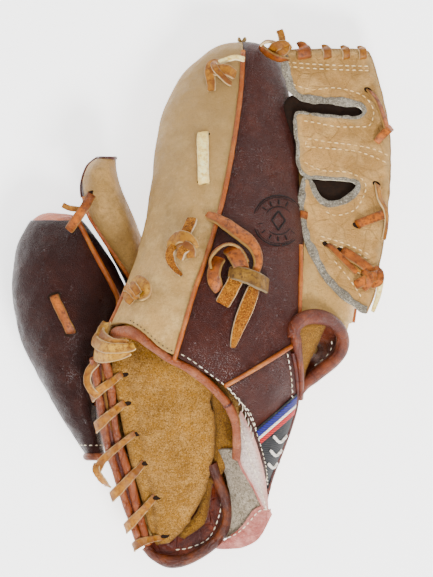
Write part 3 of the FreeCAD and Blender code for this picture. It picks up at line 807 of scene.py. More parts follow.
def lined(stations, depth):
    """A smaller tube inside the hand's, for what lines it."""
    return Stall([(y, a + depth, b - depth, low + depth, high - depth) for y, a, b, low, high in stations])


def inner_lining():
    """Suede all round the inside of the hand."""
    inside = lined(HAND[2:-1], 3.6)
    wide = inside.panel(NO_LIMIT, constant(-400), constant(0.15), constant(-math.pi - 0.15), 80, 60)
    return stand_in(surface("inner_lining", soften(wide, (0.5, 16, 61)), SUEDE, 1.6), "back_liner")


def palm_padding():
    inside = lined(HAND[4:-1], 3.2)
    grid = inside.panel(
        constant(30), constant(-132), constant(1.12 * math.pi), constant(1.88 * math.pi), 60, 40
    )
    piece = stand_in(surface("palm_padding", grid[:, ::-1], FELT_LOOK, 0.4, 0), "palm_pad", "heel_pad")
    return piece


def piping(name, path, seed=3):
    """Piping of the usual size along a path."""
    return roll(name, path, PIPING, PIPING_LOOK, wobble=0.08, seed=seed)


def pipings():
    left, _ = hand.on_top([(x, y) for x, y in smooth(LEFT_SEAM, 160) if y < 139], 0.2)
    left_piece = stand_in(piping("piping_left", left), "index_piping_left")
    s = hand.s_at(np.linspace(30, -19, 90))
    right = hand.point(s, np.full(90, 0.32)) + [0.3, 0, 0.3]
    right_piece = stand_in(piping("piping_right", right, seed=8), "index_piping_right")
    strap, _ = hand.on_top(smooth(STRAP_SEAM, 80), 0.5)
    strap_piece = stand_in(piping("piping_strap", strap, seed=9), "strap_piping")
    return [left_piece, right_piece, strap_piece]


HEEL_INNER = [
    (-53.8, -32), (-50.1, -48.2), (-48.4, -66.4), (-45.6, -81), (-40.2, -98.3), (-35.6, -116.5),
    (-29.5, -138)
]
HEEL_OUTER = [
    (-59.8, -33), (-57.4, -49.8), (-54.7, -68.2), (-51.8, -82.8), (-47.2, -97), (-42.6, -112),
    (-37.5, -127), (-34, -138)
]
RIM_HEIGHT = [(-32, 69), (-50, 61.5), (-66, 56), (-82, 50), (-97, 43), (-112, 37.5), (-127, 32), (-138, 29)]


def rim_z(y):
    """Height of the heel's rim."""
    rim = np.array(RIM_HEIGHT)
    return np.interp(-np.asarray(y, float), -rim[:, 0], rim[:, 1])


def heel_line(plan, lift, count):
    """A line in plan, laid along the heel's rim."""
    line = smooth(plan, count)
    return np.column_stack([line, rim_z(line[:, 1]) + lift])


def heel_rolls():
    """Two rolls side by side along the heel, the gully between them and the wall under them."""
    inner, outer = heel_line(HEEL_INNER, 1.2, 120), heel_line(HEEL_OUTER, 0.4, 120)
    pieces = []
    for name, node, line, seed in (
        ("heel_roll_in", "heel_roll_inner", inner, 4), ("heel_roll_out", "heel_roll_outer", outer, 6)
    ):
        pieces.append(stand_in(roll(name, line, HEEL_ROLL, ROLL_LOOK, wobble=0.14, seed=seed), node))
    gully = roll("heel_gully", (inner + outer) / 2 - [0, 0, 2.2], 2.0, FACING_LOOK, wobble=0.05)
    rim = np.column_stack([outer[:, :2] - [0.6, 0], outer[:, 2] - 2.0])
    s = hand.s_at(rim[:, 1])
    palm_rim = hand.point(s, np.full(len(s), math.pi)) + [1.2, 0, -1.5]
    wall = np.stack([rim * (1 - w) + palm_rim * w for w in np.linspace(0, 1, 6)], axis=1)
    heel_wall = surface("heel_wall", wall[:, ::-1], FACING_LOOK, 2.0)
    return pieces + [gully, heel_wall]


LINER_LEFT = [
    (-42, 6, 50), (-49, -22, 60), (-50, -36.4, 66), (-47.9, -49.8, 61), (-44, -71, 54.5),
    (-39.5, -91.8, 46.5), (-33.9, -110, 39), (-29.4, -128, 32.5), (-23.8, -138.3, 28.5)
]
LINER_RIGHT = [
    (20, 2, 52), (14, -36, 58), (6.3, -55.4, 57), (8.1, -66.4, 54), (8.6, -79, 50.5), (7, -91.8, 46.5),
    (3.5, -106.4, 41), (-2, -117.4, 37), (-9.2, -129.3, 33), (-18, -137.5, 29)
]


def liner_grid():
    """The palm liner, seen through the hand's opening: bulged, with one groove along it."""
    grid = between(LINER_LEFT, LINER_RIGHT, 90, 60)
    share = np.linspace(0, 1, 60)
    width = np.linalg.norm(grid[:, -1] - grid[:, 0], axis=1)
    bulge = np.sin(math.pi * share) ** 0.8
    grid[..., 2] += bulge[None] * width[:, None] * 0.17
    grid[..., 2] -= 1.8 * np.exp(-((share - 0.16) / 0.07) ** 2)[None]
    grid[..., 2] += ripple(grid, 40, 71) * 1.5 * bulge[None]
    grid[..., 2] += ripple(grid, 14, 72) * 0.45
    return grid


LINER = liner_grid()


def liner_top(x, y):
    """The point of the liner's surface nearest to a position in plan."""
    flat = LINER.reshape(-1, 3)
    return flat[np.argmin((flat[:, 0] - x) ** 2 + (flat[:, 1] - y) ** 2)]


def liner():
    rough = LINER.copy()
    rough[:, -2:] += (ripple(rough[:, -2:], 5, 73) * 0.8)[..., None] * [1, 0.4, 0]
    return stand_in(surface("liner", outwards(rough), SUEDE, 1.8), "palm_liner")


def flap(name, left, right, look, seed, bulge, rows=40, columns=20, thickness=1.5, rough=0.5):
    """A loose sheet between two lines in space."""
    grid = between(left, right, rows, columns)
    grid[..., 2] += np.sin(math.pi * np.linspace(0, 1, columns))[None] * bulge + ripple(grid, 12, seed) * 0.5
    ragged = ripple(grid, 4.5, seed + 1) * rough
    grid[[0, -1]] += ragged[[0, -1]][..., None] * [0.3, 1, 0]
    grid[:, [0, -1]] += ragged[:, [0, -1]][..., None] * [1, 0.3, 0]
    return surface(name, outwards(grid), look, thickness)


def liner_layers():
    """More layers of suede beside the liner, down the right of the opening, coloured darker as painted shade.
    """
    upper_left = [(4, -46, 58), (6, -60, 53), (7.5, -76, 47), (6, -92, 42), (3, -104, 38)]
    upper_right = [(16, -50, 70), (20, -62, 64), (21, -76, 57), (18, -88, 50), (8, -104, 42)]
    upper = flap("liner_layer_upper", upper_left, upper_right, SHADED_SUEDE, 75, 1.2)
    lower_left = [(0, -100, 37), (0, -112, 34), (-4, -122, 31), (-14, -133, 27)]
    lower_right = [(7, -100, 42), (4.8, -113, 38), (2, -126, 34), (-9, -134.5, 30)]
    lower = flap("liner_layer_lower", lower_left, lower_right, SHADED_SUEDE, 77, 0.8)
    return [upper, lower]


HOLES = [(-44.7, -42.7), (-42.8, -58.2), (-37.4, -75.5), (-32, -92.4), (-26, -111.4), (-21.9, -133.8)]
WRAPS = [  # each heel lace: from its hole, over both rolls, to the outer rim
    [(-44.7, -42.7), (-50, -46.5), (-55.5, -50.3), (-60.5, -54.5)],
    [(-42.8, -58.2), (-48, -62.5), (-53.5, -67), (-58, -71.5)],
    [(-37.4, -75.5), (-45, -81.5), (-52, -87.5), (-56.5, -92.4), (-57.4, -95.2)],
    [(-32, -92.4), (-38, -98.5), (-44.5, -105.5), (-49.5, -110.5)],
    [(-26, -111.4), (-31.5, -117.5), (-37.5, -124), (-41.5, -128.5)],
    [(-21.9, -133.8), (-27.5, -134.8), (-33.5, -136.5), (-37, -139)],
]


def heel_laces():
    """Laces from the liner's holes over both rolls, each diving in at both ends."""
    laces = []
    ups = [(0.3, 0, 1), (0.2, 0, 1), (0.1, 0, 1), (0, 0, 1), (-0.45, 0, 0.9), (-0.9, -0.2, 0.5)]
    for i, (wrap, hole) in enumerate(zip(WRAPS, HOLES)):
        plan = smooth(wrap, 7)
        lift = np.interp(np.linspace(0, 1, 7), [0, 0.32, 0.52, 0.75, 1.0], [0.6, 5.6, 3.6, 4.6, -0.5])
        path = np.column_stack([plan, rim_z(plan[:, 1]) + lift])
        start = liner_top(*hole)
        path[0] = start + [0, 0, 0.4]
        dive = start + [1.2, 0.8, -1.6]
        tail = path[-1] + [-0.3, -1.0, -4.0]
        path = np.vstack([dive, path, tail])
        up = ups[:2] + ups[2:3] * (len(path) - 5) + ups[3:]
        width = np.interp(np.linspace(0, 1, len(path)), [0, 0.2, 0.55, 0.8, 1], [3.0, 3.8, 4.8, 5.6, 5.0])
        width = width + 0.5 * math.sin(2.3 * i)
        cup = -0.32 if i % 3 else 0.1
        laces.append(lace(f"heel_lace_{i + 1}", path, LACE, up, width, 1.25, 44, seed=80 + i, cup=cup))

    loop = [
        (-57.5, -35, rim_z(-35) + 3.5), (-62, -40, rim_z(-40) + 1.5), (-63, -46, rim_z(-46) + 2.0),
        (-60.2, -51.5, rim_z(-51) + 3.6), (-57, -54, rim_z(-54) + 2.2)
    ]
    laces.append(lace("heel_lace_loop", loop, LACE, (-0.6, 0, 1), 4.6, 1.25, seed=87, cup=-0.3))
    end = [(-57.6, -92, 45), (-58.4, -95.6, 46), (-56.2, -99.6, 44.5), (-53.6, -103, 42), (-51.6, -105, 38)]
    laces.append(lace("heel_lace_end", end, LACE, (-0.6, 0, 1), 4.4, 1.25, seed=88, cup=-0.2))
    return stand_in(joined("heel_laces", laces), "heel_lacing")


def disc(name, centre, normal, size, turn):
    """A thin dark oval of painted shadow, for the inside of an eyelet or hole."""
    sides = 20
    centre, normal = np.asarray(centre, float), unit(np.asarray(normal, float))
    side = unit(np.cross([0.0, 1.0, 0.1], normal))
    other = np.cross(normal, side)
    side, other = turned(side, other, turn)
    angles = np.linspace(0, 2 * math.pi, sides, endpoint=False)
    rings = []
    for scale, lift in ((1.12, 0.02), (1.0, 0.22), (0.7, 0.10)):
        rings.append(
            centre
            + side * (np.cos(angles) * size[0] * scale)[:, None]
            + other * (np.sin(angles) * size[1] * scale)[:, None]
            + normal * lift
        )
    faces = grid_faces(3, sides, wrap=True) + [tuple(range(2 * sides, 3 * sides))]
    return make_mesh(name, np.array(rings), faces, PAINTED_SHADOW)


def eyelets(name, places, size, turn=0.0):
    """Dark ovals of painted shadow as one piece. places is their points and normals."""
    return joined(name, [disc(f"{name}_{k}", *place, size, turn) for k, place in enumerate(zip(*places))])


def liner_holes():
    holes = []
    for i, hole in enumerate(HOLES):
        place = liner_top(hole[0] + 2.0, hole[1] + 0.6) + [0, 0, 0.3]
        holes.append(disc(f"hole_{i}", place, (0, 0, 1), (2.3, 1.2), turn=0.25))
    return joined("liner_holes", holes)


def opening_binding():
    """The roll round the hand's opening, and the suede that turns in beneath it."""
    inner = [
        (-53.8, -19.6), (-50.5, -18.0), (-45, -17.6), (-39.5, -18.2), (-33.6, -21), (-28, -26),
        (-18, -33.5), (-7, -39), (2, -45.5), (9.5, -52.5), (16.5, -61), (20.3, -71), (22, -84), (22.3, -92)
    ]
    line = smooth(inner, 190)
    share = np.linspace(0, 1, 190)
    height = np.interp(share, [0, 0.06, 0.16, 0.3, 0.8, 1], [-6.5, -2.0, -1.6, -2.8, -2.8, -6.5])
    points, normals = hand.on_top(line)
    points = points + normals * height[:, None]
    radius = np.interp(share, [0, 0.04, 0.14, 0.28, 1], [2.6, 3.6, 3.9, BINDING, BINDING])
    piece = stand_in(
        roll("opening_binding", points, radius, BINDING_LOOK, wobble=0.09, seed=12, sides=18, flat=0.9),
        "hand_opening_binding"
    )
    seam = roll("opening_join", points[134:137] + [0, 0, 0.2], BINDING + 0.35, FACING_LOOK, count=6)
    under = points + [1.5, -0.8, -3.4]
    depth = np.stack(
        [points + [0.4, -0.2, -1.0], under, under + [2.5, 1.5, -5.0], under + [5.0, 4.0, -9.0]], axis=1
    )
    inside = surface("opening_turnback", outwards(depth), SUEDE, 1.4)
    return [piece, seam, inside]


def draped(piece, plan, lift):
    """Points a little above a piece, over positions in plan."""
    places = [v.co for v in piece.data.vertices]
    tree = BVHTree.FromPolygons(places, [tuple(p.vertices) for p in piece.data.polygons])
    points = []
    for x, y in plan:
        start = Vector(((x + SHIFT[0]) * MM, (y + SHIFT[1]) * MM, 1.0))
        hit = tree.ray_cast(start, Vector((0, 0, -1)))[0]
        height = hit.z / MM if hit else points[-1][2] - lift
        points.append((x, y, height + lift))
    return np.array(points)


def bottom_and_facing():
    """The thick roll at the heel's bottom, and the facing of the opening above it."""
    line = [
        (6.2, -92, 45), (10.6, -103.5, 42), (14.2, -114, 39), (14.6, -124.6, 36), (8.8, -135.4, 33),
        (-4.8, -145, 31.5), (-16.5, -147.4, 30.5), (-26, -144.2, 29.5), (-30.5, -139, 28.5)
    ]
    bottom = smooth(line, 150)
    piece = stand_in(
        roll("bottom_roll", bottom, 3.2, BOTTOM_LOOK, wobble=0.16, seed=14, sides=20), "heel_bottom_binding"
    )
    inner = [(-4, -95, 33), (-3, -106, 31), (-5, -116, 29), (-9, -124, 27), (-19, -129, 25), (-32, -131, 23)]
    outer = [
        (6, -92.5, 44), (11, -103, 41), (14, -114, 38), (14.4, -124, 35), (8.6, -134.8, 32),
        (-4.8, -144, 30.5), (-16, -146.4, 29.5), (-25, -143.6, 28.5), (-31, -138.6, 28)
    ]
    facing = stand_in(flap("facing", inner, outer, FACING_LOOK, 91, -0.6, 60, 24, 1.8, 0.2), "wrist_facing")
    seam = [
        (6.6, -96.5), (8.4, -102.3), (11.4, -112), (10.3, -121.8), (4.6, -134.2), (-6.2, -139.6),
        (-16, -141)
    ]
    seam = draped(facing, smooth(seam, 100), 0.4)
    return [piece, facing, stitches("facing_stitches", seam, (0, 0, 1), THREAD_WHITE, 2.4, 1.3, 0.22)]


def strap_inside():
    """The felt and the pale strip under the strap, and the binding of the strap's end."""
    felt_left = [
        (9, -84, 46), (11.5, -93, 44), (14.5, -103, 42), (16.4, -113, 39), (15, -125, 36), (12, -135, 32)
    ]
    felt_right = [
        (20.5, -84, 57), (26, -95, 57), (31, -104, 54), (35, -113, 50), (35, -120, 46), (33, -130, 38)
    ]
    felt = stand_in(
        flap("strap_felt", felt_left, felt_right, FELT_LOOK, 93, 2.0, 60, 26, 2.6, 0.6), "strap_felt_lining"
    )
    strip_left = [
        (18.6, -70, 70), (19.3, -80, 66), (22.4, -93, 62), (28.2, -103, 57.5), (33, -112.6, 52),
        (35.6, -118.4, 49.5)
    ]
    strip_right = [
        (22, -62, 81), (29, -76, 77), (33.2, -88, 71), (36, -101, 63.5), (37.4, -111, 56),
        (38.2, -118.6, 50.5)
    ]
    strip = flap("strap_inner_strip", strip_left, strip_right, STRIP_LOOK, 95, 0.6, 60, 12, 1.4, 0.2)
    raw_line = smooth(strip_left[1:], 90)
    raw = roll("strap_raw_edge", raw_line, 0.7, PINK_BINDING, wobble=0.3, flat=0.7)
    run = smooth(strip_left, 90) * 0.45 + smooth(strip_right, 90) * 0.55 + [0, 0, 0.9]
    row = stitches("strip_stitches", run, (-0.4, 0.1, 1), THREAD_WHITE, 2.3, 1.3, 0.25, seed=15)
    top_line = [(16.5, -132.5, 38), (22, -128, 42), (28.8, -118.8, 47.5), (33, -116, 50), (38, -117, 51)]
    low_line = [(8, -140.6, 31.5), (16, -140.8, 33), (25, -139.5, 35), (33.5, -134, 39), (40.5, -120.5, 47)]
    end = stand_in(
        flap("strap_end", top_line, low_line, PINK_BINDING, 97, 2.0, 60, 16, 2.4, 0.3), "strap_end_binding"
    )
    seam = smooth(top_line, 90) * 0.8 + smooth(low_line, 90) * 0.2 + [0, 0, 1.3]
    end_row = stitches("strap_end_stitches", seam, (0, 0, 1), THREAD_WHITE, 2.3, 1.3, 0.25, seed=16)
    return [felt, strip, raw, row, end, end_row]


LABEL_TOP = [(24.6, -77.0), (29.6, -72.6), (37, -66), (45, -59.0), (52.6, -52.4), (58, -47.6)]


def label():
    """Woven label at the strap's end: stripes over a dark ground with a plain geometric pattern."""
    top = np.array(smooth(LABEL_TOP, 400))
    down = unit(np.array([[0.62, -0.9]]))
    left_limit = smooth(STRAP_LEFT, 300)
    right_limit = smooth(STRAP_RIGHT, 300)

    def strip(name, start, stop, look, lift):
        rows = max(6, int((stop - start) / 0.9))
        lines = []
        for distance in np.linspace(start, stop, rows):
            line = top + down * distance * [[0.12, 1.0]]
            low_x = np.interp(-line[:, 1], -left_limit[:, 1], left_limit[:, 0]) + 1.6
            high_x = np.interp(-line[:, 1], -right_limit[:, 1], right_limit[:, 0]) - 0.6
            inside = line[(line[:, 0] >= low_x) & (line[:, 0] <= high_x)]
            if len(inside) > 1:
                lines.append(inside[0] + (inside[-1] - inside[0]) * np.linspace(0, 1, 30)[:, None])
        plan = np.array(lines)
        points, _ = hand.on_top(plan.reshape(-1, 2), lift)
        return surface(name, outwards(points.reshape(plan.shape[0], plan.shape[1], 3)), look, 0.7)

    pieces = [
        stand_in(strip("label_ground", 0, 54, LABEL_BLACK, 1.25), "strap_label"),
        strip("label_stripe_blue", 1.6, 6.4, LABEL_BLUE, 1.5),
        strip("label_stripe_white", 6.4, 8.4, LABEL_WHITE, 1.5),
        strip("label_stripe_red", 8.4, 12.0, LABEL_RED, 1.5)
    ]
    motif = []
    for k, (x, y, half) in enumerate([(43.2, -78.5, 3.6), (41.0, -86, 3.1), (39.2, -93, 2.5)]):
        points, _ = hand.on_top([(x - half, y + half * 0.8), (x, y - 0.6), (x + half, y + half * 0.8)], 1.75)
        motif.append(lace(f"chevron_{k}", points, LABEL_WHITE, (0.3, -0.3, 1), 1.7, 0.6, 16, 99 + k))
    return pieces + [joined("label_motif", motif)]


def back_row(name, plan, count, lift, *look_and_size, **more):
    """A row of stitches on the hand's back, along a line in plan."""
    points, normals = hand.on_top(smooth(plan, count), lift)
    return stitches(name, points, normals, *look_and_size, **more)


def strap_edges():
    """Bound edges of the strap, and its stitch rows."""
    right, _ = hand.on_top(smooth(STRAP_RIGHT, 140), 0.2)
    right[:, 0] += 0.4
    binding = roll("strap_binding", right[4:], 1.3, FACING_LOOK, wobble=0.1, seed=18)
    left, left_normals = hand.on_top(smooth(STRAP_LEFT, 140) + [1.6, 0.3], 0.55)
    right_row, right_normals = hand.on_top(smooth(STRAP_RIGHT, 140) + [-3.0, 0], 0.6)
    return [
        binding,
        stitches("strap_stitches_left", left[:-6], left_normals[:-6], THREAD_WHITE, 2.6, 1.3, 0.25, seed=19),
        stitches(
            "strap_stitches_right", right_row[4:-6], right_normals[4:-6], THREAD_WHITE, 2.6, 1.3, 0.25,
            seed=20
        )
    ]


def hand_stitches():
    """Stitching beside the opening, as dark dots and white dashes."""
    dots = [(-39.5, -11.5), (-31, -17), (-22, -25), (-13.7, -29.7)]
    white = [(-14.8, -28), (-4, -34.5), (6, -42), (14.3, -48.2)]
    slope = [(14.3, -48.2), (21, -56), (27.2, -62.7), (31.6, -74)]
    loops = [(20.5, -55), (23.5, -62), (27, -71), (29.5, -80)]
    return [
        back_row("opening_dots", dots, 60, 0.1, THREAD_DARK, 0.9, 1.9, 0.2, width=0.4, seed=22),
        back_row("opening_stitches", white, 80, 0.15, THREAD_WHITE, 2.6, 1.4, 0.25, seed=23),
        back_row("corner_stitches", slope, 60, 0.5, THREAD_WHITE, 2.4, 1.2, 0.25, seed=24),
        back_row(
            "loose_stitches", loops, 60, 0.5, THREAD_WHITE, 4.2, 0.6, 0.9, slant=2.2, width=0.3, seed=25
        )
    ]


# Laces and knots of the hand

FLAT = (0, 0, 0)  # no tilt


def hand_lace(name, route, look, seed, tilt=FLAT, thickness=1.7):
    """A lace over the hand's back. Each point of the route is (x, y, height over the leather, width)."""
    route = np.array(route, float)
    points, normals = hand.on_top(route[:, :2])
    return lace(
        name, points + normals * route[:, 2:3], look, normals + tilt, route[:, 3], thickness, seed=seed
    )


def edge_on(route, centre):
    """Directions that stand a lace on its edge along a route round a centre."""
    away = np.array([(x - centre[0], y - centre[1], 0.25) for x, y, *_ in route], float)
    return unit(away) * 40


def knot_pieces(name, node, turns):
    """A knot: several turns of lace as one piece. A turn is its look, its tilt and then its points."""
    made = []
    for k, (look, tilt, *route) in enumerate(turns):
        made.append(hand_lace(f"{name}_{k}", route, look, 101 + 7 * k + len(name), tilt))
    return stand_in(joined(name, made), node)


def centre_knot():
    arc = [
        (6.2, 14.5, 4.6, 6.5), (5.4, 19.5, 4.8, 6.5), (8.0, 24.4, 5.2, 6.5), (12.0, 27.6, 5.6, 6.5),
        (16.0, 28.4, 6.0, 6), (20.2, 27.0, 6.0, 5.5), (23.6, 23.4, 5.4, 5), (25.6, 19.0, 5.0, 4.5)
    ]
    turns = [
        [LACE_ORANGE, (0.25, 0.3, 0), (3.6, 46.4, 1.6, 4.6), (7.6, 44.6, 2.2, 6.4), (12.6, 41.6, 3.0, 7.4),
         (19.8, 35.8, 4.4, 8.6), (26.3, 30.0, 5.6, 8.4), (29.6, 24.0, 6.4, 6.6), (30.6, 18.5, 5.6, 5.0),
         (29.5, 14.0, 3.6, 4.5)],
        [LACE_ORANGE, edge_on(arc, (16, 17)), *arc],
        [LACE_ORANGE, (-0.25, 0, 0), (10.8, 21.6, 3.6, 7.0), (8.4, 16.6, 5.6, 7.6), (7.4, 12.0, 5.4, 7.8),
         (8.4, 7.6, 4.0, 7.4), (10.6, 4.2, 2.0, 6.6)],
        [LACE_ORANGE, FLAT, (15.4, 27.0, 3.4, 8.2), (17.4, 24.2, 7.2, 8.8), (19.4, 20.6, 8.4, 9.0),
         (21.4, 16.6, 7.2, 9.0), (22.6, 13.4, 4.4, 8.6)],
        [LACE_SUEDE, FLAT, (20.4, 12.6, 4.4, 7.6), (18.0, 7.4, 6.0, 8.6), (15.4, 2.6, 5.2, 8.8),
         (12.0, -3.2, 2.6, 8.2)],
        [LACE_SUEDE, FLAT, (28.6, 5.4, 4.4, 6.6), (27.2, 1.6, 4.4, 7.6), (24.8, -5.2, 3.2, 8.4),
         (21.4, -14.0, 2.2, 7.2), (18.8, -22, 1.7, 4.6), (17.6, -26.6, 1.4, 2.6)],
        [LACE_GREY, FLAT, (15.6, 13.4, 5.0, 7.0), (19.4, 12.6, 7.4, 8.2), (25.6, 10.4, 8.4, 9.2),
         (31.6, 8.2, 6.6, 9.4), (35.4, 7.2, 3.4, 9.0), (36.8, 6.8, 1.4, 8.6)]
    ]
    return knot_pieces("knot_mid_back", "knot_centre", turns)


def small_knots():
    upper = [
        [LACE, FLAT, (6.4, 115.6, 1.8, 5.0), (6.6, 119.5, 3.2, 5.4), (6.2, 124.6, 4.8, 5.6),
         (7.6, 129, 5.0, 5.2), (11.4, 130.6, 3.4, 4.4)],
        [LACE, FLAT, (8.4, 125.6, 4.2, 6.6), (11.6, 125.2, 6.4, 7.0), (15.6, 124.8, 6.2, 6.8),
         (19.4, 124.2, 2.6, 6.0)],
        [LACE, FLAT, (10.6, 130.4, 3.6, 3.4), (8.9, 127.6, 6.8, 3.4), (10.8, 123.2, 7.6, 3.6),
         (14.8, 119.9, 5.0, 3.4), (17, 119.4, 2.0, 3)],
        [LACE_PALE, FLAT, (11.0, 130.2, 4.4, 2.8), (15.4, 131.6, 4.6, 2.8), (19.6, 133.0, 4.2, 3.0),
         (24.4, 132.6, 3.2, 3.0)]
    ]
    middle = [
        [LACE_SUEDE, FLAT, (-4.2, 44.2, 1.8, 6.2), (-5.0, 41.0, 2.6, 6.8), (-6.6, 36.0, 4.0, 6.4),
         (-8.0, 31.6, 4.2, 5.6)],
        [LACE_HONEY, FLAT, (-15.6, 26.6, 1.8, 6.0), (-13.4, 30.2, 4.6, 7.0), (-9.2, 32.0, 6.6, 7.4),
         (-4.8, 30.6, 5.6, 7.0), (-2.4, 26.6, 3.0, 6.0)],
        [LACE, FLAT, (-11.6, 27.0, 3.6, 5.6), (-8.4, 27.6, 5.8, 6.2), (-4.6, 25.6, 5.6, 6.0),
         (-4.4, 21.8, 3.2, 5.2)],
        [LACE_SUEDE, FLAT, (-4.2, 27.6, 4.4, 5.0), (-8.2, 24.6, 6.4, 5.4), (-10.6, 21.2, 3.4, 4.6)],
        [LACE_SUEDE, FLAT, (-12.6, 28.6, 3.4, 5.0), (-15.4, 24.6, 3.8, 5.4), (-15.2, 19.8, 3.0, 5.0),
         (-12.8, 15.6, 2.4, 3.6), (-9.8, 12.4, 1.8, 2.2)]
    ]
    left = [
        [LACE_HONEY, FLAT, (-36.6, 8.2, 1.8, 5.4), (-32.2, 8.8, 4.4, 6.6), (-28.4, 6.4, 4.6, 7.0),
         (-28.2, 2.6, 3.4, 6.4), (-32.4, 0.4, 2.0, 5.4)],
        [LACE, FLAT, (-36.4, 6.6, 3.2, 4.4), (-33.2, 5.0, 6.2, 5.0), (-31.4, 1.2, 4.6, 4.8)],
        [LACE, FLAT, (-40.4, 5.6, 1.8, 4.6), (-37.4, 4.8, 4.6, 5.0), (-34.2, 2.2, 4.4, 4.6),
         (-33.6, -0.6, 2.2, 4)],
        [LACE, FLAT, (-39.6, 2.6, 2.4, 5.0), (-38.0, -0.6, 3.4, 5.2), (-36.6, -2.8, 2.0, 4.4)]
    ]
    pieces = [
        knot_pieces("knot_upper_left", "knot_upper", upper),
        knot_pieces("knot_middle_left", "knot_middle", middle)
    ]
    return pieces + [knot_pieces("knot_rim", "knot_left_edge", left)]


def tip_knot():
    turns = [
        ([(33.4, 142.0, 35), (36.2, 138.7, 38), (40.8, 135.8, 41), (46.0, 134.2, 41), (49, 134, 38)],
         LACE_ORANGE, 4.4, (-0.5, -0.6, 1)),
        ([(33.6, 142.2, 36), (36.4, 144.2, 37), (40.6, 144.2, 37.5), (44.6, 142.6, 36)], LACE, 3.0,
         (0.2, 1, 0.3)),
        ([(39.6, 139.0, 38), (42.4, 141.8, 41.5), (47.0, 142.4, 41), (49.4, 139.6, 37)], LACE, 5.2,
         (0, 0, 1)),
        ([(47.6, 143.6, 37), (47.6, 139.8, 41.6), (44.0, 137.2, 41), (40.2, 138.4, 37.6)], LACE, 4.6,
         (0, 0, 1)),
        ([(45.6, 141.4, 40), (45.8, 144.6, 39.6), (45.4, 147.6, 38), (44.2, 150.7, 36.5)], LACE, 3.9,
         (0.2, 0, 1))
    ]
    pieces = []
    for k, (turn, look, width, up) in enumerate(turns):
        pieces.append(lace(f"tip_turn_{k}", turn, look, up, width, 1.6, seed=160 + k))
    return stand_in(joined("knot_top", pieces), "knot_tip")


def short_laces():
    """The lace in the slot of the tan panel, the corner wrap and the piping beside it."""
    slot_route = [
        (1.4, 93.4, -1.6, 6.4), (1.5, 91.0, 1.3, 6.4), (1.7, 79, 1.8, 6.4), (1.9, 66.6, 1.3, 6.4),
        (1.9, 64.2, -1.6, 6.4)
    ]
    slot = stand_in(hand_lace("slot_lace", slot_route, LACE_PALE, 41, thickness=1.6), "index_slot_lace")
    corner = [
        [LACE, FLAT, (-52.6, -13.4, -1.0, 4.6), (-52.8, -17.0, 3.4, 5.6), (-51.6, -21.4, 3.8, 5.6),
         (-46.6, -24.6, 2.8, 5.4), (-40.6, -25.0, -0.8, 5.0)],
        [LACE, FLAT, (-57.0, -23.0, 0.4, 6.0), (-55.0, -26.4, 2.2, 6.8), (-50.2, -28.8, 2.8, 6.8),
         (-44.4, -28.6, 1.8, 6.2)],
        [LACE_HONEY, FLAT, (-56.2, -29.0, -1.0, 6.4), (-55.6, -30.4, 3.2, 7.0), (-52.0, -31.8, 3.8, 7.2),
         (-45.5, -30.8, 3.0, 6.6), (-39.6, -28.6, -1.0, 5.8)],
        [LACE_HONEY, (-0.2, 0.2, 0), (-49.8, -13.4, 0.5, 4.8), (-53.6, -15.6, 4.6, 6.2),
         (-55.4, -19.6, 5.2, 6.8), (-53.8, -24.4, 5.6, 6.4), (-48.6, -27.0, 5.2, 6.2),
         (-40.6, -27.0, 1.4, 5.4), (-37.6, -26.2, -2.0, 5.0)]
    ]
    rim = hand.point(hand.s_at(np.linspace(4, -15, 40)), np.full(40, 2.95))
    seam_piping = piping("piping_corner", rim + [-0.2, 0, 0.4], seed=30)
    slots = eyelets("slot_ends", hand.on_top([(1.7, 92.2), (1.7, 65.2)], 0.05), (3.4, 1.3))
    return [slot, slots, knot_pieces("corner_laces", "corner_wrap_lace", corner), seam_piping]


def stamp():
    """A plain round stamp in dark ink: three rings, a ring of short bars and a diamond."""
    centre = (43.4, 43.7)
    parts = []
    for k, (radius, size) in enumerate(((14.0, 0.42), (12.9, 0.2), (7.8, 0.3))):
        angles = np.linspace(0, 2 * math.pi, 97)
        plan = np.column_stack([centre[0] + radius * np.cos(angles), centre[1] + radius * np.sin(angles)])
        plan = plan[plan[:, 0] < 55.6]
        first = np.argmax(np.linalg.norm(np.diff(plan, axis=0), axis=1))
        plan = np.roll(plan, -(first + 1), axis=0) if radius > 10 else plan
        line, normals = hand.on_top(plan, 0.12)
        parts.append(roll(f"ring_{k}", line, size, INK, sides=6, wobble=0.2, flat=0.3, up=normals))
    for k in range(14):
        angle = 2 * math.pi * k / 14 + 0.2
        ends = [(centre[0] + r * math.cos(angle), centre[1] + r * math.sin(angle)) for r in (9.0, 10.3, 11.6)]
        if ends[-1][0] < 55:
            line, normals = hand.on_top(ends, 0.12)
            parts.append(roll(f"bar_{k}", line, 0.5, INK, count=5, sides=6, flat=0.3, up=(0.3, 0, 1)))
    diamond = [(43.4, 49.0), (47.2, 43.7), (43.4, 38.4), (39.6, 43.7), (43.4, 49.0)]
    for k, (a, b) in enumerate(zip(diamond, diamond[1:])):
        line, normals = hand.on_top([a, ((a[0] + b[0]) / 2, (a[1] + b[1]) / 2), b], 0.12)
        parts.append(roll(f"side_{k}", line, 0.55, INK, count=8, sides=6, flat=0.3, up=(0.3, 0, 1)))
    return joined("stamp_rings", parts)


# Pieces of the thumb side and the web

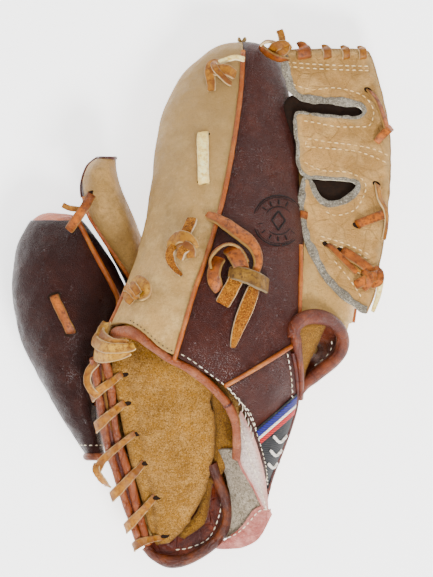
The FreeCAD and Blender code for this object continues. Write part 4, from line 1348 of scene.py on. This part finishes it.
def thumb_skin():
    lower = thumb.panel(NO_LIMIT, constant(-42), constant(math.pi), constant(2 * math.pi), 110, 50)
    front = stand_in(
        surface("thumb_palm", tucked(thumb, soften(lower, (0.5, 26, 131), (0.2, 9, 132))), TAN),
        "thumb_front"
    )
    upper = thumb.panel(NO_LIMIT, constant(-13), constant(UNDER_LEFT), constant(UNDER_RIGHT), 90, 50)
    back = stand_in(
        surface("thumb_outer", soften(upper, (0.5, 26, 133), (0.2, 9, 134))[:, ::-1], TAN), "thumb_back"
    )
    s = thumb.s_at(np.linspace(112, -13, 120))
    line = thumb.point(s, np.zeros(120)) + [0.4, 0, 0]
    seam_piping = stand_in(piping("piping_thumb", line, seed=26), "thumb_piping")
    return [front, back, seam_piping]


def thumb_bridge():
    """The thumb's back, reaching from under the hand's right piping to the thumb's outer side."""
    rows = []
    for y in np.linspace(96, -14, 70):
        x, z = hand.point(hand.s_at(y), 0.22)[[0, 2]]
        top = thumb.point(thumb.s_at(y), 1.25)
        side = thumb.point(thumb.s_at(y), 0.55)
        outer = thumb.point(thumb.s_at(y), 0.12)
        fall = (z - top[2]) * 0.45
        across = [
            (x - 1.2, y, z), (x + 3.5, y, z - fall * 0.7), top + [0, 0, 1.2], side + [0.6, 0, 0.8],
            outer + [0.4, 0, 0]
        ]
        rows.append(smooth(across, 36))
    grid = soften(np.array(rows), (0.5, 22, 135), (0.15, 8, 136))
    return surface("thumb_bridge", outwards(grid), TAN, 2.4)


CREASE_TOP = np.array([47.0, 137.0, 32.0])
CREASE_ROOT = np.array([57.0, 0.0, 70.0])
WEB_BOUND = [  # along the top, down the right side and round the lower tip
    (46.6, 136.4), (48, 138.6), (54.6, 139.2), (71.5, 139.8), (91, 139.6), (95.2, 136.6), (98.4, 127),
    (102, 113.3), (105.4, 95.6), (106.2, 77.8), (104.9, 55.4), (102.4, 34.9), (99.2, 18.1), (96.4, 2.5),
    (92.4, -6.8),
]
WEB_RAW = [  # up the raw left edge, in and out of both slots
    (92.4, -6.8), (89.3, -5.4), (81, 0.8), (73, 8.4), (66.4, 17.4), (61.6, 27.4), (57.4, 38.4), (55.6, 46),
    (55.3, 53), (56.4, 60), (57.2, 65.4), (58.4, 67.6), (60.8, 67.2), (62.6, 64.0), (65.2, 58.6),
    (70.2, 54.2), (77.4, 54.4), (83.6, 57.8), (88.0, 62.6), (86.0, 66.0), (78.1, 67.4), (67.4, 67.9),
    (59.6, 69.0), (56.2, 72.4), (54.4, 78), (54.6, 86), (53.2, 94), (53.0, 101.2), (54.6, 104.4),
    (62, 103.6), (70.7, 102.6), (80, 102.0), (88, 101.8), (92.2, 105.0), (89.0, 108.6), (80, 109.8),
    (70, 110.8), (62, 111.4), (56, 112.6), (51.6, 116.0), (49.4, 120.0), (48.4, 125), (46.8, 131),
    (46.6, 136.4),
]


def web_z(x, y):
    """Height of the web's upper face: a sloping sheet that sags a little between its edges."""
    x, y = np.asarray(x, float), np.asarray(y, float)
    f = (CREASE_TOP[1] - y) / (CREASE_TOP[1] - CREASE_ROOT[1])
    crease_x = CREASE_TOP[0] + (CREASE_ROOT[0] - CREASE_TOP[0]) * f
    crease_z = CREASE_TOP[2] + (CREASE_ROOT[2] - CREASE_TOP[2]) * f
    plan = np.stack([x, y, np.zeros_like(x)], axis=-1)
    across = (x - crease_x) / 45
    folds = ripple(plan, 46, 141) * 1.1 + ripple(plan, 17, 142) * 0.45 + ripple(plan, 7, 143) * 0.13
    return crease_z + 6.5 - 0.22 * (x - crease_x) - 3.1 * across**2 + folds


def on_web(plan, lift=0.0):
    """Points over plan positions on the web, and its normals there."""
    return laid(web_z, plan, lift)


def within(points, loop):
    """Which plan points lie inside a closed loop."""
    inside = np.zeros(len(points), bool)
    for (x1, y1), (x2, y2) in zip(loop, np.roll(loop, -1, axis=0)):
        crosses = (y1 > points[:, 1]) != (y2 > points[:, 1])
        at = x1 + (points[:, 1] - y1) / (y2 - y1 + 1e-12) * (x2 - x1)
        inside ^= crosses & (points[:, 0] < at)
    return inside


def loop_distance(points, loop):
    """How far each point is from the nearest point of a loop."""
    return np.min(np.linalg.norm(points[:, None] - loop[None], axis=2), axis=1)


def web_edges():
    """The web's edge in two runs: bound leather, and raw."""
    return smooth(WEB_BOUND, 190), smooth(WEB_RAW, 420)


def web_sheet(name, outline, lift, look, thickness, step):
    """A layer of the web's leather inside an outline in plan."""
    low, high = outline.min(axis=0), outline.max(axis=0)
    xs, ys = np.meshgrid(np.arange(low[0], high[0], step), np.arange(low[1], high[1], step))
    grid = np.column_stack([xs.ravel(), ys.ravel()]) + np.where(np.arange(xs.size) % 2, 0.3, -0.3)[:, None]
    grid = grid[within(grid, outline) & (loop_distance(grid, outline) > step * 0.55)]
    edges = [(i, (i + 1) % len(outline)) for i in range(len(outline))]
    flat = np.vstack([outline, grid])
    made = delaunay_2d_cdt([Vector(p) for p in flat], edges, [], 0, 1e-4)
    flat = np.array([tuple(v) for v in made[0]])
    faces = np.array([tuple(f) for f in made[2] if len(f) == 3])
    faces = faces[within(flat[faces].mean(axis=1), outline)]
    a, b, c = (flat[faces[:, k]] for k in range(3))
    downward = (b - a)[:, 0] * (c - a)[:, 1] - (b - a)[:, 1] * (c - a)[:, 0] < 0
    faces[downward] = faces[downward][:, ::-1]
    places, _ = on_web(flat, lift)
    piece = make_mesh(name, places, faces.tolist(), look)
    mark_edge(piece, np.clip((loop_distance(flat, outline) - 0.5) / 7.0, 0, 1))
    solid_up = piece.modifiers.new("thickness", "SOLIDIFY")
    solid_up.thickness = thickness * MM
    solid_up.offset = -1.0
    return settle(piece)


SHADE_OUTLINE = [
    (49.5, 99), (49.5, 114), (74, 115), (92, 112), (96, 104), (95, 84), (92, 60), (84, 50), (70, 48),
    (62, 56), (60, 80)
]


def web():
    """The web: its face, a second layer beneath, and a dark sheet beneath its slots, painted shadow for the
    deep inside seen through them.
    """
    bound, raw = web_edges()
    outline = np.vstack([bound[:-1], raw[:-1]])
    pieces = [web_sheet("web_leather", outline, 0.0, WEB_TAN, 2.4, 1.9)]
    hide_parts("web")
    right = smooth(
        [(93, 138), (97.2, 128), (101.4, 113.3), (105.6, 95.6), (107.0, 77.8), (106.0, 55.4), (103.6, 34.9),
         (100.4, 17), (97.4, 1.5)],
        90
    )
    inner = right - [9, 0]
    under = np.vstack([right, inner[::-1]])
    pieces.append(web_sheet("web_under_layer", under, -2.8, WEB_TAN, 1.6, 2.6))
    painted_shade = smooth(SHADE_OUTLINE, 90, closed=True)[:-1]
    # a dark sheet of painted shadow, standing in for the shade deep inside the web
    pieces.append(web_sheet("web_painted_shadow_sheet", painted_shade, -3.1, PAINTED_SHADOW, 1.0, 3.0))
    tangent = unit(np.gradient(raw, axis=0))
    away = np.column_stack([-tangent[:, 1], tangent[:, 0], np.full(len(raw), 0.3)])
    points, normals = on_web(raw, -0.8)
    uneven = ripple(points, 5, 150)[:, None] * [0.3, 0.3, 0.15]
    lower_left = (np.arange(len(raw)) < len(raw) / 2) & (raw[:, 1] < 62)
    upper_lip = (np.arange(len(raw)) > len(raw) / 2) & (raw[:, 1] > 108)
    width = np.convolve(
        np.pad(np.where(lower_left | upper_lip, 2.3, 1.1), 6, mode="edge"), np.ones(13) / 13, "valid"
    )
    middle = points - away * (width - 1.0)[:, None] * [0.5, 0.5, 0] + normals * 0.5 + uneven
    rim = roll("web_rim", middle, width, RAW, sides=12, wobble=0.25, flat=0.55, up=normals)
    line = roll("web_rim_line", points - normals * 0.9, 0.7, THREAD_WHITE, sides=6, wobble=0.3)
    fibres = fuzz("web_fuzz", points - away * [0.3, 0.3, 0], away, RAW, 2600, 1.3, 1.1, 153)
    pieces.append(joined("web_raw_rim", [rim, line, fibres]))
    points, normals = on_web(bound, -1.2)
    pieces.append(roll("web_bound_rim", points, 1.25, WEB_TAN, sides=10, wobble=0.15, flat=0.9, up=normals))
    return pieces


WEB_ROWS = [
    [(47.6, 130.6), (60, 129.4), (80, 128.6), (97, 128.2)],
    [(47.2, 132.9), (60, 131.9), (80, 131), (96.4, 130.7)],
    [(50.6, 120.5), (62.4, 117.4), (74.2, 118.4), (85.2, 116.5), (93, 112.6), (97, 105.6), (94.9, 97.6),
     (89.2, 96.6), (76.3, 96.6), (65.2, 98.6), (55.6, 100.2)],
    [(58.5, 85.7), (60.5, 89.6), (71.4, 87.9), (86, 86.2), (97, 84), (105.6, 80.2)],
    [(58.5, 85.7), (59.5, 85.3), (71.4, 84.3), (86.2, 82.9), (96, 80), (104.6, 76.2)],
    [(57.4, 76.9), (67.4, 72), (81.2, 71.1), (89.2, 68), (92.6, 63), (90.1, 55.2), (85.2, 49.3),
     (75.3, 46.8), (67.4, 50.4)],
    [(66.4, 35.3), (79.2, 31.4), (89.2, 27.4), (96, 23.5)],
    [(66.0, 33.0), (78.6, 29.0), (88.6, 25.0), (95, 21.2)], [(74.2, 21.8), (80, 15), (86, 7), (91, -1.2)]
]


def web_stitches():
    rows = []
    for k, row in enumerate(WEB_ROWS):
        line, normals = on_web(smooth(row, 120), 0.1)
        rows.append(
            stitches(f"web_row_{k}", line, normals, THREAD_TAN, 2.3, 1.5, 0.2, width=0.38, seed=170 + k)
        )
    return joined("web_stitches", rows)


def web_lace(name, route, seed, look=LACE_ORANGE, tilt=FLAT):
    """A lace over the web. Each point of the route is (x, y, height, width)."""
    route = np.array(route, float)
    points, normals = on_web(route[:, :2])
    return lace(name, points + normals * route[:, 2:3], look, normals + tilt, route[:, 3], 1.5, 36, seed=seed)


def web_lacing(name, node, seed, turns):
    """Several laces on the web as one piece. A turn is its look, its tilt and then its points."""
    made = [
        web_lace(f"{name}_{k}", route, seed + k, look, tilt) for k, (look, tilt, *route) in enumerate(turns)
    ]
    return stand_in(joined(name, made), node)


def web_laces():
    """Whips over the web's top, the laces at its sides and foot, and their eyelets."""
    whips = []
    top = 139.4
    for k, (x, width, look) in enumerate(
        ((57.6, 8.6, LACE_ORANGE), (70.6, 5.2, LACE), (81.2, 4.6, LACE), (90.6, 4.6, LACE))
    ):
        route = [
            (x + 0.6, top - 4.4, -1.6, width), (x + 0.4, top - 3.6, 1.0, width), (x, top - 0.6, 1.9, width),
            (x - 0.5, top + 1.3, 0.0, width), (x - 0.7, top + 1.5, -4, width)
        ]
        whips.append(web_lace(f"whip_{k}", route, 180 + k, look))
    top_piece = stand_in(joined("web_top_laces", whips), "web_top_lacing")
    side = [
        [LACE_ORANGE, (0.6, 0.2, 0), (94.0, 117.6, -1.5, 3.0), (95.0, 115.4, 1.6, 3.2),
         (98.6, 109.6, 2.4, 3.6), (101.4, 102.1, 2.6, 4.2), (103.4, 95.6, 2.8, 4.6), (104.6, 92, 1.0, 4.4)],
        [LACE_ORANGE, FLAT, (98.4, 87.8, 0.4, 4.6), (100.2, 90.6, 2.8, 4.8), (104.0, 94.2, 3.2, 4.8),
         (107.0, 96.2, 0, 4.4)],
        [LACE, (0.5, 0.1, 0), (98.6, 64.8, -1.5, 2.8), (98.8, 62.6, 1.4, 3.0), (99.8, 55.4, 2.0, 3.2),
         (102.8, 49, 2.2, 3.0), (103.4, 41, 1.6, 2.6), (102.2, 33, 0.6, 2.4)],
        [LACE_ORANGE, FLAT, (87.4, 41.4, -1.2, 5.4), (88.8, 42.0, 1.5, 5.6), (95, 44.2, 2.4, 5.8),
         (100.4, 46.2, 2.4, 5.8), (103.8, 47.4, -1, 5.4)]
    ]
    lower = [
        [LACE_ORANGE, FLAT, (70.4, 30.4, -1.5, 3.2), (71.8, 29.0, 1.3, 3.6), (78.4, 22.2, 1.8, 3.8),
         (86.6, 14.2, 1.8, 3.4)],
        [LACE_ORANGE, FLAT, (78.6, 27.0, -1.2, 5.4), (80.4, 25.6, 1.7, 5.8), (87.4, 20.6, 2.4, 6.0),
         (94.2, 15.8, 2.2, 5.6), (96.4, 14.2, 0.6, 5.0)],
        [LACE, FLAT, (76.4, 24.4, 0.8, 1.8), (82.6, 19.4, 1.4, 2.0), (89, 14.4, 1.8, 2.0)],
        [LACE_ORANGE, FLAT, (86.0, 7.4, 0.8, 5.0), (89.4, 8.6, 3.6, 5.8), (95.0, 11.4, 5.2, 6.0),
         (100.6, 13.6, 2.4, 5.2)],
        [LACE_ORANGE, FLAT, (90.0, 15.6, 1.6, 3.6), (92.2, 12.0, 5.6, 4.2), (92.6, 7.4, 4.8, 4.2),
         (90.4, 4.6, 2.2, 3.8)],
        [LACE_ORANGE, FLAT, (96.8, 17.4, 1.4, 3.8), (99.0, 13.6, 4.4, 4.2), (98.6, 8.6, 4.8, 4.2),
         (94.6, 6.4, 2.6, 3.8)],
        [LACE_PALE, FLAT, (99.6, 11.8, 3.2, 3.4), (99.6, 8.0, 3.0, 3.4), (98.2, 0.4, 2.4, 3.0),
         (95.4, -7.7, 2.0, 2.2)]
    ]
    side_piece = web_lacing("web_side_laces", "web_side_lace", 185, side)
    lower_piece = web_lacing("web_low_laces", "web_lower_lace", 190, lower)
    bit = web_lace(
        "web_left_lace",
        [(54.2, 47.8, -2, 4.4), (55.6, 47.2, 1.2, 4.6), (58.4, 46.4, 1.2, 4.6), (60, 46, -2, 4.4)], 197
    )
    places = [(94.0, 117.2), (98.5, 64.4), (70.2, 30.6), (78.4, 27.2), (87.2, 41.2)]
    return [
        top_piece, side_piece, lower_piece, bit,
        eyelets("web_holes", on_web(places, 0.05), (2.2, 1.4), -0.5)
    ]


HOLE_RING = [  # the bound rim of the finger hole, from the strap's top round the thumb to its foot
    (51.4, -21.5, 86.5), (52.6, -14.6, 87), (58.0, -10.6, 84), (66, -9.8, 79.5), (74, -13.0, 74),
    (79.0, -20.0, 68.5), (78.6, -28.0, 64), (74.0, -34.4, 61.5), (67.6, -39.6, 60), (62.4, -43.8, 61),
    (58.2, -47.6, 63), (55.6, -52.0, 66),
]
HOLE_LEFT = [(49.6, -16.5), (50.6, -21), (51.6, -27), (52.9, -34), (53.6, -41), (53.9, -48), (53.7, -55)]


def finger_hole():
    """The finger hole: its bound rim, the crumpled leather inside it, and the suede seen through it. The
    leather's darker colour is partly painted shade, and the suede's is painted shade.
    """
    line = smooth(HOLE_RING, 150)
    size = np.interp(np.linspace(0, 1, 150), [0, 0.1, 0.5, 0.7, 0.86, 1], [3.0, 3.6, 3.8, 4.6, 4.0, 2.0])
    binding = stand_in(
        roll("hole_binding", line, size, HOLE_SHADED_LOOK, wobble=0.2, seed=28, sides=20), "finger_hole_binding"
    )
    closed = smooth(HOLE_RING + [(55.0, -44, 66), (54.6, -34, 71), (53.4, -27, 79)], 170, closed=True)
    centre = np.array([61.5, -28.5, 50.0])
    bowl = []
    for w in np.linspace(0, 1, 18):
        bowl.append(centre + (closed - centre) * (1 - 0.86 * w**0.9) - [0, 0, 10 * w])
    bowl = np.array(bowl).transpose(1, 0, 2)
    crumple = bowl + (ripple(bowl, 9, 145) * 1.2 + ripple(bowl, 4, 147) * 0.4)[..., None] * [0.6, 0.5, 0.9]
    facing = stand_in(surface("hole_facing", outwards(crumple), HOLE_SHADED_LOOK, 1.2), "finger_hole_facing")
    suede_left = [(52.2, -14, 84), (53.4, -22, 82), (54.4, -31, 77), (55.0, -39, 71), (55.6, -45, 67)]
    suede_right = [(71, -13, 73.5), (68.6, -19, 69), (65, -27, 66), (60.6, -36, 65), (57.4, -43.4, 65.5)]
    suede = flap("hole_suede", suede_left, suede_right, SHADED_SUEDE, 146, -1.2, 50, 24, 1.6, 0.3)
    row = centre + (closed - centre) * 0.66 + [0, 0, 1.2]
    seam = stitches("hole_stitches", row[58:106], (0, 0, 1), THREAD_WHITE, 2.2, 2.0, 0.3, seed=29)
    collar = np.stack(
        [line + [0, 0, -0.5], line * [1, 1, 0.93] + [0.3, 0.3, 0], line * [0.98, 1, 0.8] + [0.6, 1, 0]],
        axis=1
    )
    bridge = surface("hole_collar", collar, HOLE_SHADED_LOOK, 2.0)
    return [binding, facing, suede, seam, bridge]


def hole_left_rim():
    """The finger hole's rim along the strap, which stays with the hand."""
    plan = smooth(HOLE_LEFT, 110)
    points, _ = hand.on_top(plan, 0.9)
    points = points + [1.5, 0, 0.3]
    size = np.interp(np.linspace(0, 1, 110), [0, 0.15, 0.5, 1], [2.6, 3.0, 1.9, 1.4])
    return roll("hole_rim_left", points, size, HOLE_SHADED_LOOK, wobble=0.14, seed=33, sides=16)


# Pieces of the little finger side

PINKY_SEAM = [
    (-75, 50), (-68.2, 42), (-63.4, 33), (-56.6, 20.4), (-49.8, 7.8), (-46.4, -0.6), (-48, -9), (-52, -24),
    (-59, -60), (-59, -90)
]


def pinky_skin():
    """The little finger stall's panels and its tip's cap."""
    side_seam = seam_over(pinky, PINKY_SEAM, 200)
    back = pinky.panel(constant(44.5), constant(-89), constant(UNDER_LEFT), side_seam, 130, 60)
    wrinkled = soften(back, (0.6, 24, 201), (0.22, 9, 202), (0.10, 4, 203))
    back_piece = surface("pinky_outer", wrinkled[:, ::-1], PINKY_LOOK)
    side = pinky.panel(constant(44.5), constant(-89), side_seam, constant(UNDER_RIGHT), 110, 20)
    side_piece = surface("pinky_side_strip", soften(side, (0.3, 16, 204))[:, ::-1], PINKY_LOOK)
    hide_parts("pinky_back")
    lower = pinky.panel(constant(44.5), constant(-89), constant(math.pi), constant(2 * math.pi), 110, 50)
    lower_piece = stand_in(
        surface("pinky_palm", tucked(pinky, soften(lower, (0.5, 24, 205), (0.2, 9, 206))), PINKY_LOOK),
        "pinky_front"
    )
    s = np.linspace(0, float(pinky.s_at(41.5)), 26)
    angles = np.linspace(0, 2 * math.pi, 60)
    cap = np.stack([pinky.point(np.full(60, k), angles) for k in s])
    cap = cap + grid_normals(cap) * -0.5 + (ripple(cap, 9, 207) * 0.3)[..., None]
    cap_piece = stand_in(surface("pinky_cap", cap, CAP_LOOK, 1.8, -1.0), "pinky_tip_cap")
    return [back_piece, side_piece, lower_piece, cap_piece]


def pinky_trim():
    """The little finger stall's piping, root binding, stitches and lace."""
    line = smooth(PINKY_SEAM, 160)
    line = line[(line[:, 1] < 42.5) & (line[:, 1] > -60)]
    points, _ = pinky.on_top(line, 0.3)
    seam_piping = stand_in(
        roll("piping_pinky", points, PIPING + 0.25, PIPING_LOOK, wobble=0.08, seed=208), "pinky_piping"
    )
    root_s = pinky.s_at(-88.5)
    root = pinky.point(np.full(70, root_s), np.linspace(math.pi * 1.08, 0.0, 70))
    root_piece = stand_in(
        roll("pinky_root_roll", root, 2.3, BINDING_LOOK, wobble=0.12, seed=209), "pinky_root_binding"
    )
    ring_s = pinky.s_at(-82)
    seam = pinky.point(np.full(70, ring_s), np.linspace(math.pi, 0.3, 70))
    seam_piece = stitches(
        "pinky_root_stitches", seam, unit(seam - [[-65, -82, 25]]), THREAD_WHITE, 2.2, 1.2, 0.25, seed=210
    )
    route = [(-81.9, 2.2, -1.6), (-81.2, 0.2, 1.2), (-77, -8.6, 2.0), (-73, -17.2, 1.2), (-72.4, -19.4, -1.6)]
    plan = np.array(route)
    points, normals = pinky.on_top(plan[:, :2])
    lace_piece = stand_in(
        lace("pinky_back_lace", points + normals * plan[:, 2:3], LACE_ORANGE, normals, 5.6, 1.7, seed=211),
        "pinky_lace"
    )
    hole_piece = eyelets("pinky_holes", pinky.on_top([(-81.8, 1.6), (-72.4, -18.8)], 0.05), (3.6, 1.8), 0.3)
    return [seam_piping, root_piece, seam_piece, lace_piece, hole_piece]


RING_SEAM = [
    (-66.5, 70), (-65.6, 60), (-62.4, 47.6), (-57.4, 39), (-51.4, 30), (-45.2, 20.6), (-38.4, 10), (-35, 2)
]


def ring_pieces():
    """The ring finger's stall, its piping, rims and laces."""
    side_seam = seam_over(ring, RING_SEAM, 200)
    limit = constant(79.4)
    face = ring.panel(limit, constant(-400), side_seam, constant(UNDER_RIGHT), 110, 44)
    stall = stand_in(
        surface("ring_back", soften(face, (0.4, 20, 221), (0.15, 8, 222))[:, ::-1], RING_LOOK, 2.2),
        "ring_stall"
    )
    under = ring.panel(limit, constant(-400), constant(0.05), lambda s: side_seam(s) - 2 * math.pi, 110, 60)
    lower = surface("ring_under", soften(under, (0.4, 18, 228))[:, ::-1], PINKY_LOOK, 2.2)
    s = float(ring.s_at(79.0))
    tip = ring.point(np.full(80, s), np.linspace(0, 2 * math.pi, 80))
    rim = roll("ring_rim", tip, 1.0, FACING_LOOK, wobble=0.12, seed=223)
    line = smooth(RING_SEAM, 140)
    line = line[line[:, 1] < 58]
    points, _ = ring.on_top(line, 0.2)
    seam_piping = stand_in(piping("piping_ring", points, seed=224), "ring_piping")
    edge_s = ring.s_at(np.linspace(79, 57, 60))
    left = ring.point(edge_s, np.full(60, 2.9))
    left_rim = roll("ring_left_rim", left, 1.0, FACING_LOOK, wobble=0.12, seed=225)
    start = ring.on_top([(-60.8, 57.6)], 0.6)[0][0]
    route = [
        start + [0.6, 1.2, -2.5], start + [-0.4, -0.4, 1.6], (-64.5, 51.5, 61), (-69.5, 44.5, 58),
        (-73.6, 38.6, 52)
    ]
    lace_piece = stand_in(
        lace("ring_tie", route, LACE_ORANGE, (0.1, 0.3, 1), 5.4, 1.7, seed=226), "ring_lace"
    )
    hole = disc("ring_hole", start + [0.2, 0.6, -0.2], (-0.1, 0, 1), (3.2, 2.2), turn=0.4)
    tail = lace(
        "ring_tail", [(-66, 50, 58), (-70, 50.4, 57), (-73.6, 51, 55), (-77, 52.6, 53)], LACE, (0, 0, 1),
        3.2, 1.2, seed=227
    )
    return [stall, lower, rim, seam_piping, left_rim, lace_piece, hole, tail]


def attach(pieces, body):
    """Lets pieces ride on a body."""
    for piece in pieces:
        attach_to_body(piece, body)


def build():
    hand_side = [palm_skin(), *back_panels(), wrist_strap(), inner_lining(), palm_padding(), *pipings()]
    hand_side += [*heel_rolls(), liner(), *liner_layers(), heel_laces(), liner_holes(), *opening_binding()]
    hand_side += [*bottom_and_facing(), *strap_inside(), *label(), *strap_edges(), *hand_stitches()]
    hand_side += [centre_knot(), tip_knot(), *small_knots(), *short_laces(), stamp(), hole_left_rim()]
    attach(hand_side, "hand")
    attach([*thumb_skin(), *web(), web_stitches(), *web_laces(), *finger_hole()], "thumb_side")
    attach([*pinky_skin(), *pinky_trim(), *ring_pieces()], "pinky_side")
    bridge = thumb_bridge()
    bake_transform(bridge)


# Camera, floor and light

def floor_look():
    """White, with a little light of its own."""
    look = shell_look("floor", "#FFFFFF", "#FFFFFF", 0.95)
    shader = look.node_tree.nodes["Principled BSDF"]
    shader.inputs["Emission Color"].default_value = (1, 1, 1, 1)
    shader.inputs["Emission Strength"].default_value = 2.0
    return look


FLOOR_REACH = 3000
VIEW_CENTRE = (8.96, 5.9, 45.0)  # in the part's drawing
VIEW_DISTANCE = 6.0  # metres, far enough to show hardly any perspective
VIEW_SPAN = 0.3231  # metres over the longer side of the picture
SENSOR = 36


def stage():
    """A pale floor, a camera straight above the glove, three lamps and soft light all round."""
    reach = FLOOR_REACH
    corners = [(-reach, -reach, 0), (reach, -reach, 0), (reach, reach, 0), (-reach, reach, 0)]
    floor = make_mesh("floor", corners, [(0, 1, 2, 3)], floor_look())
    centre = (np.array(VIEW_CENTRE) + SHIFT) * MM
    data = bpy.data.cameras.new("camera")
    data.lens = SENSOR * VIEW_DISTANCE / VIEW_SPAN
    camera = bpy.data.objects.new("camera", data)
    camera.location = (centre[0], centre[1], centre[2] + VIEW_DISTANCE)
    data.clip_end = 100
    SCENE.collection.objects.link(camera)
    SCENE.camera = camera
    lamps = (
        ("key", (0.5, -1.15, 1.6), 0.55, 62), ("fill", (-1.3, 0.9, 1.2), 1.2, 8),
        ("top", (0.2, 0.2, 1.8), 0.8, 14)
    )
    for name, spot, size, power in lamps:
        light = bpy.data.lights.new(name, "AREA")
        light.energy = power
        light.size = size
        lamp = bpy.data.objects.new(name, light)
        lamp.location = spot
        lamp.rotation_euler = (Vector((0, 0, 0.04)) - Vector(spot)).to_track_quat("-Z", "Y").to_euler()
        SCENE.collection.objects.link(lamp)
    world = bpy.data.worlds.new("studio")
    world.use_nodes = True
    world.node_tree.nodes["Background"].inputs[0].default_value = (1.0, 0.99, 0.975, 1)
    world.node_tree.nodes["Background"].inputs[1].default_value = 0.72
    SCENE.world = world


build()
stage()
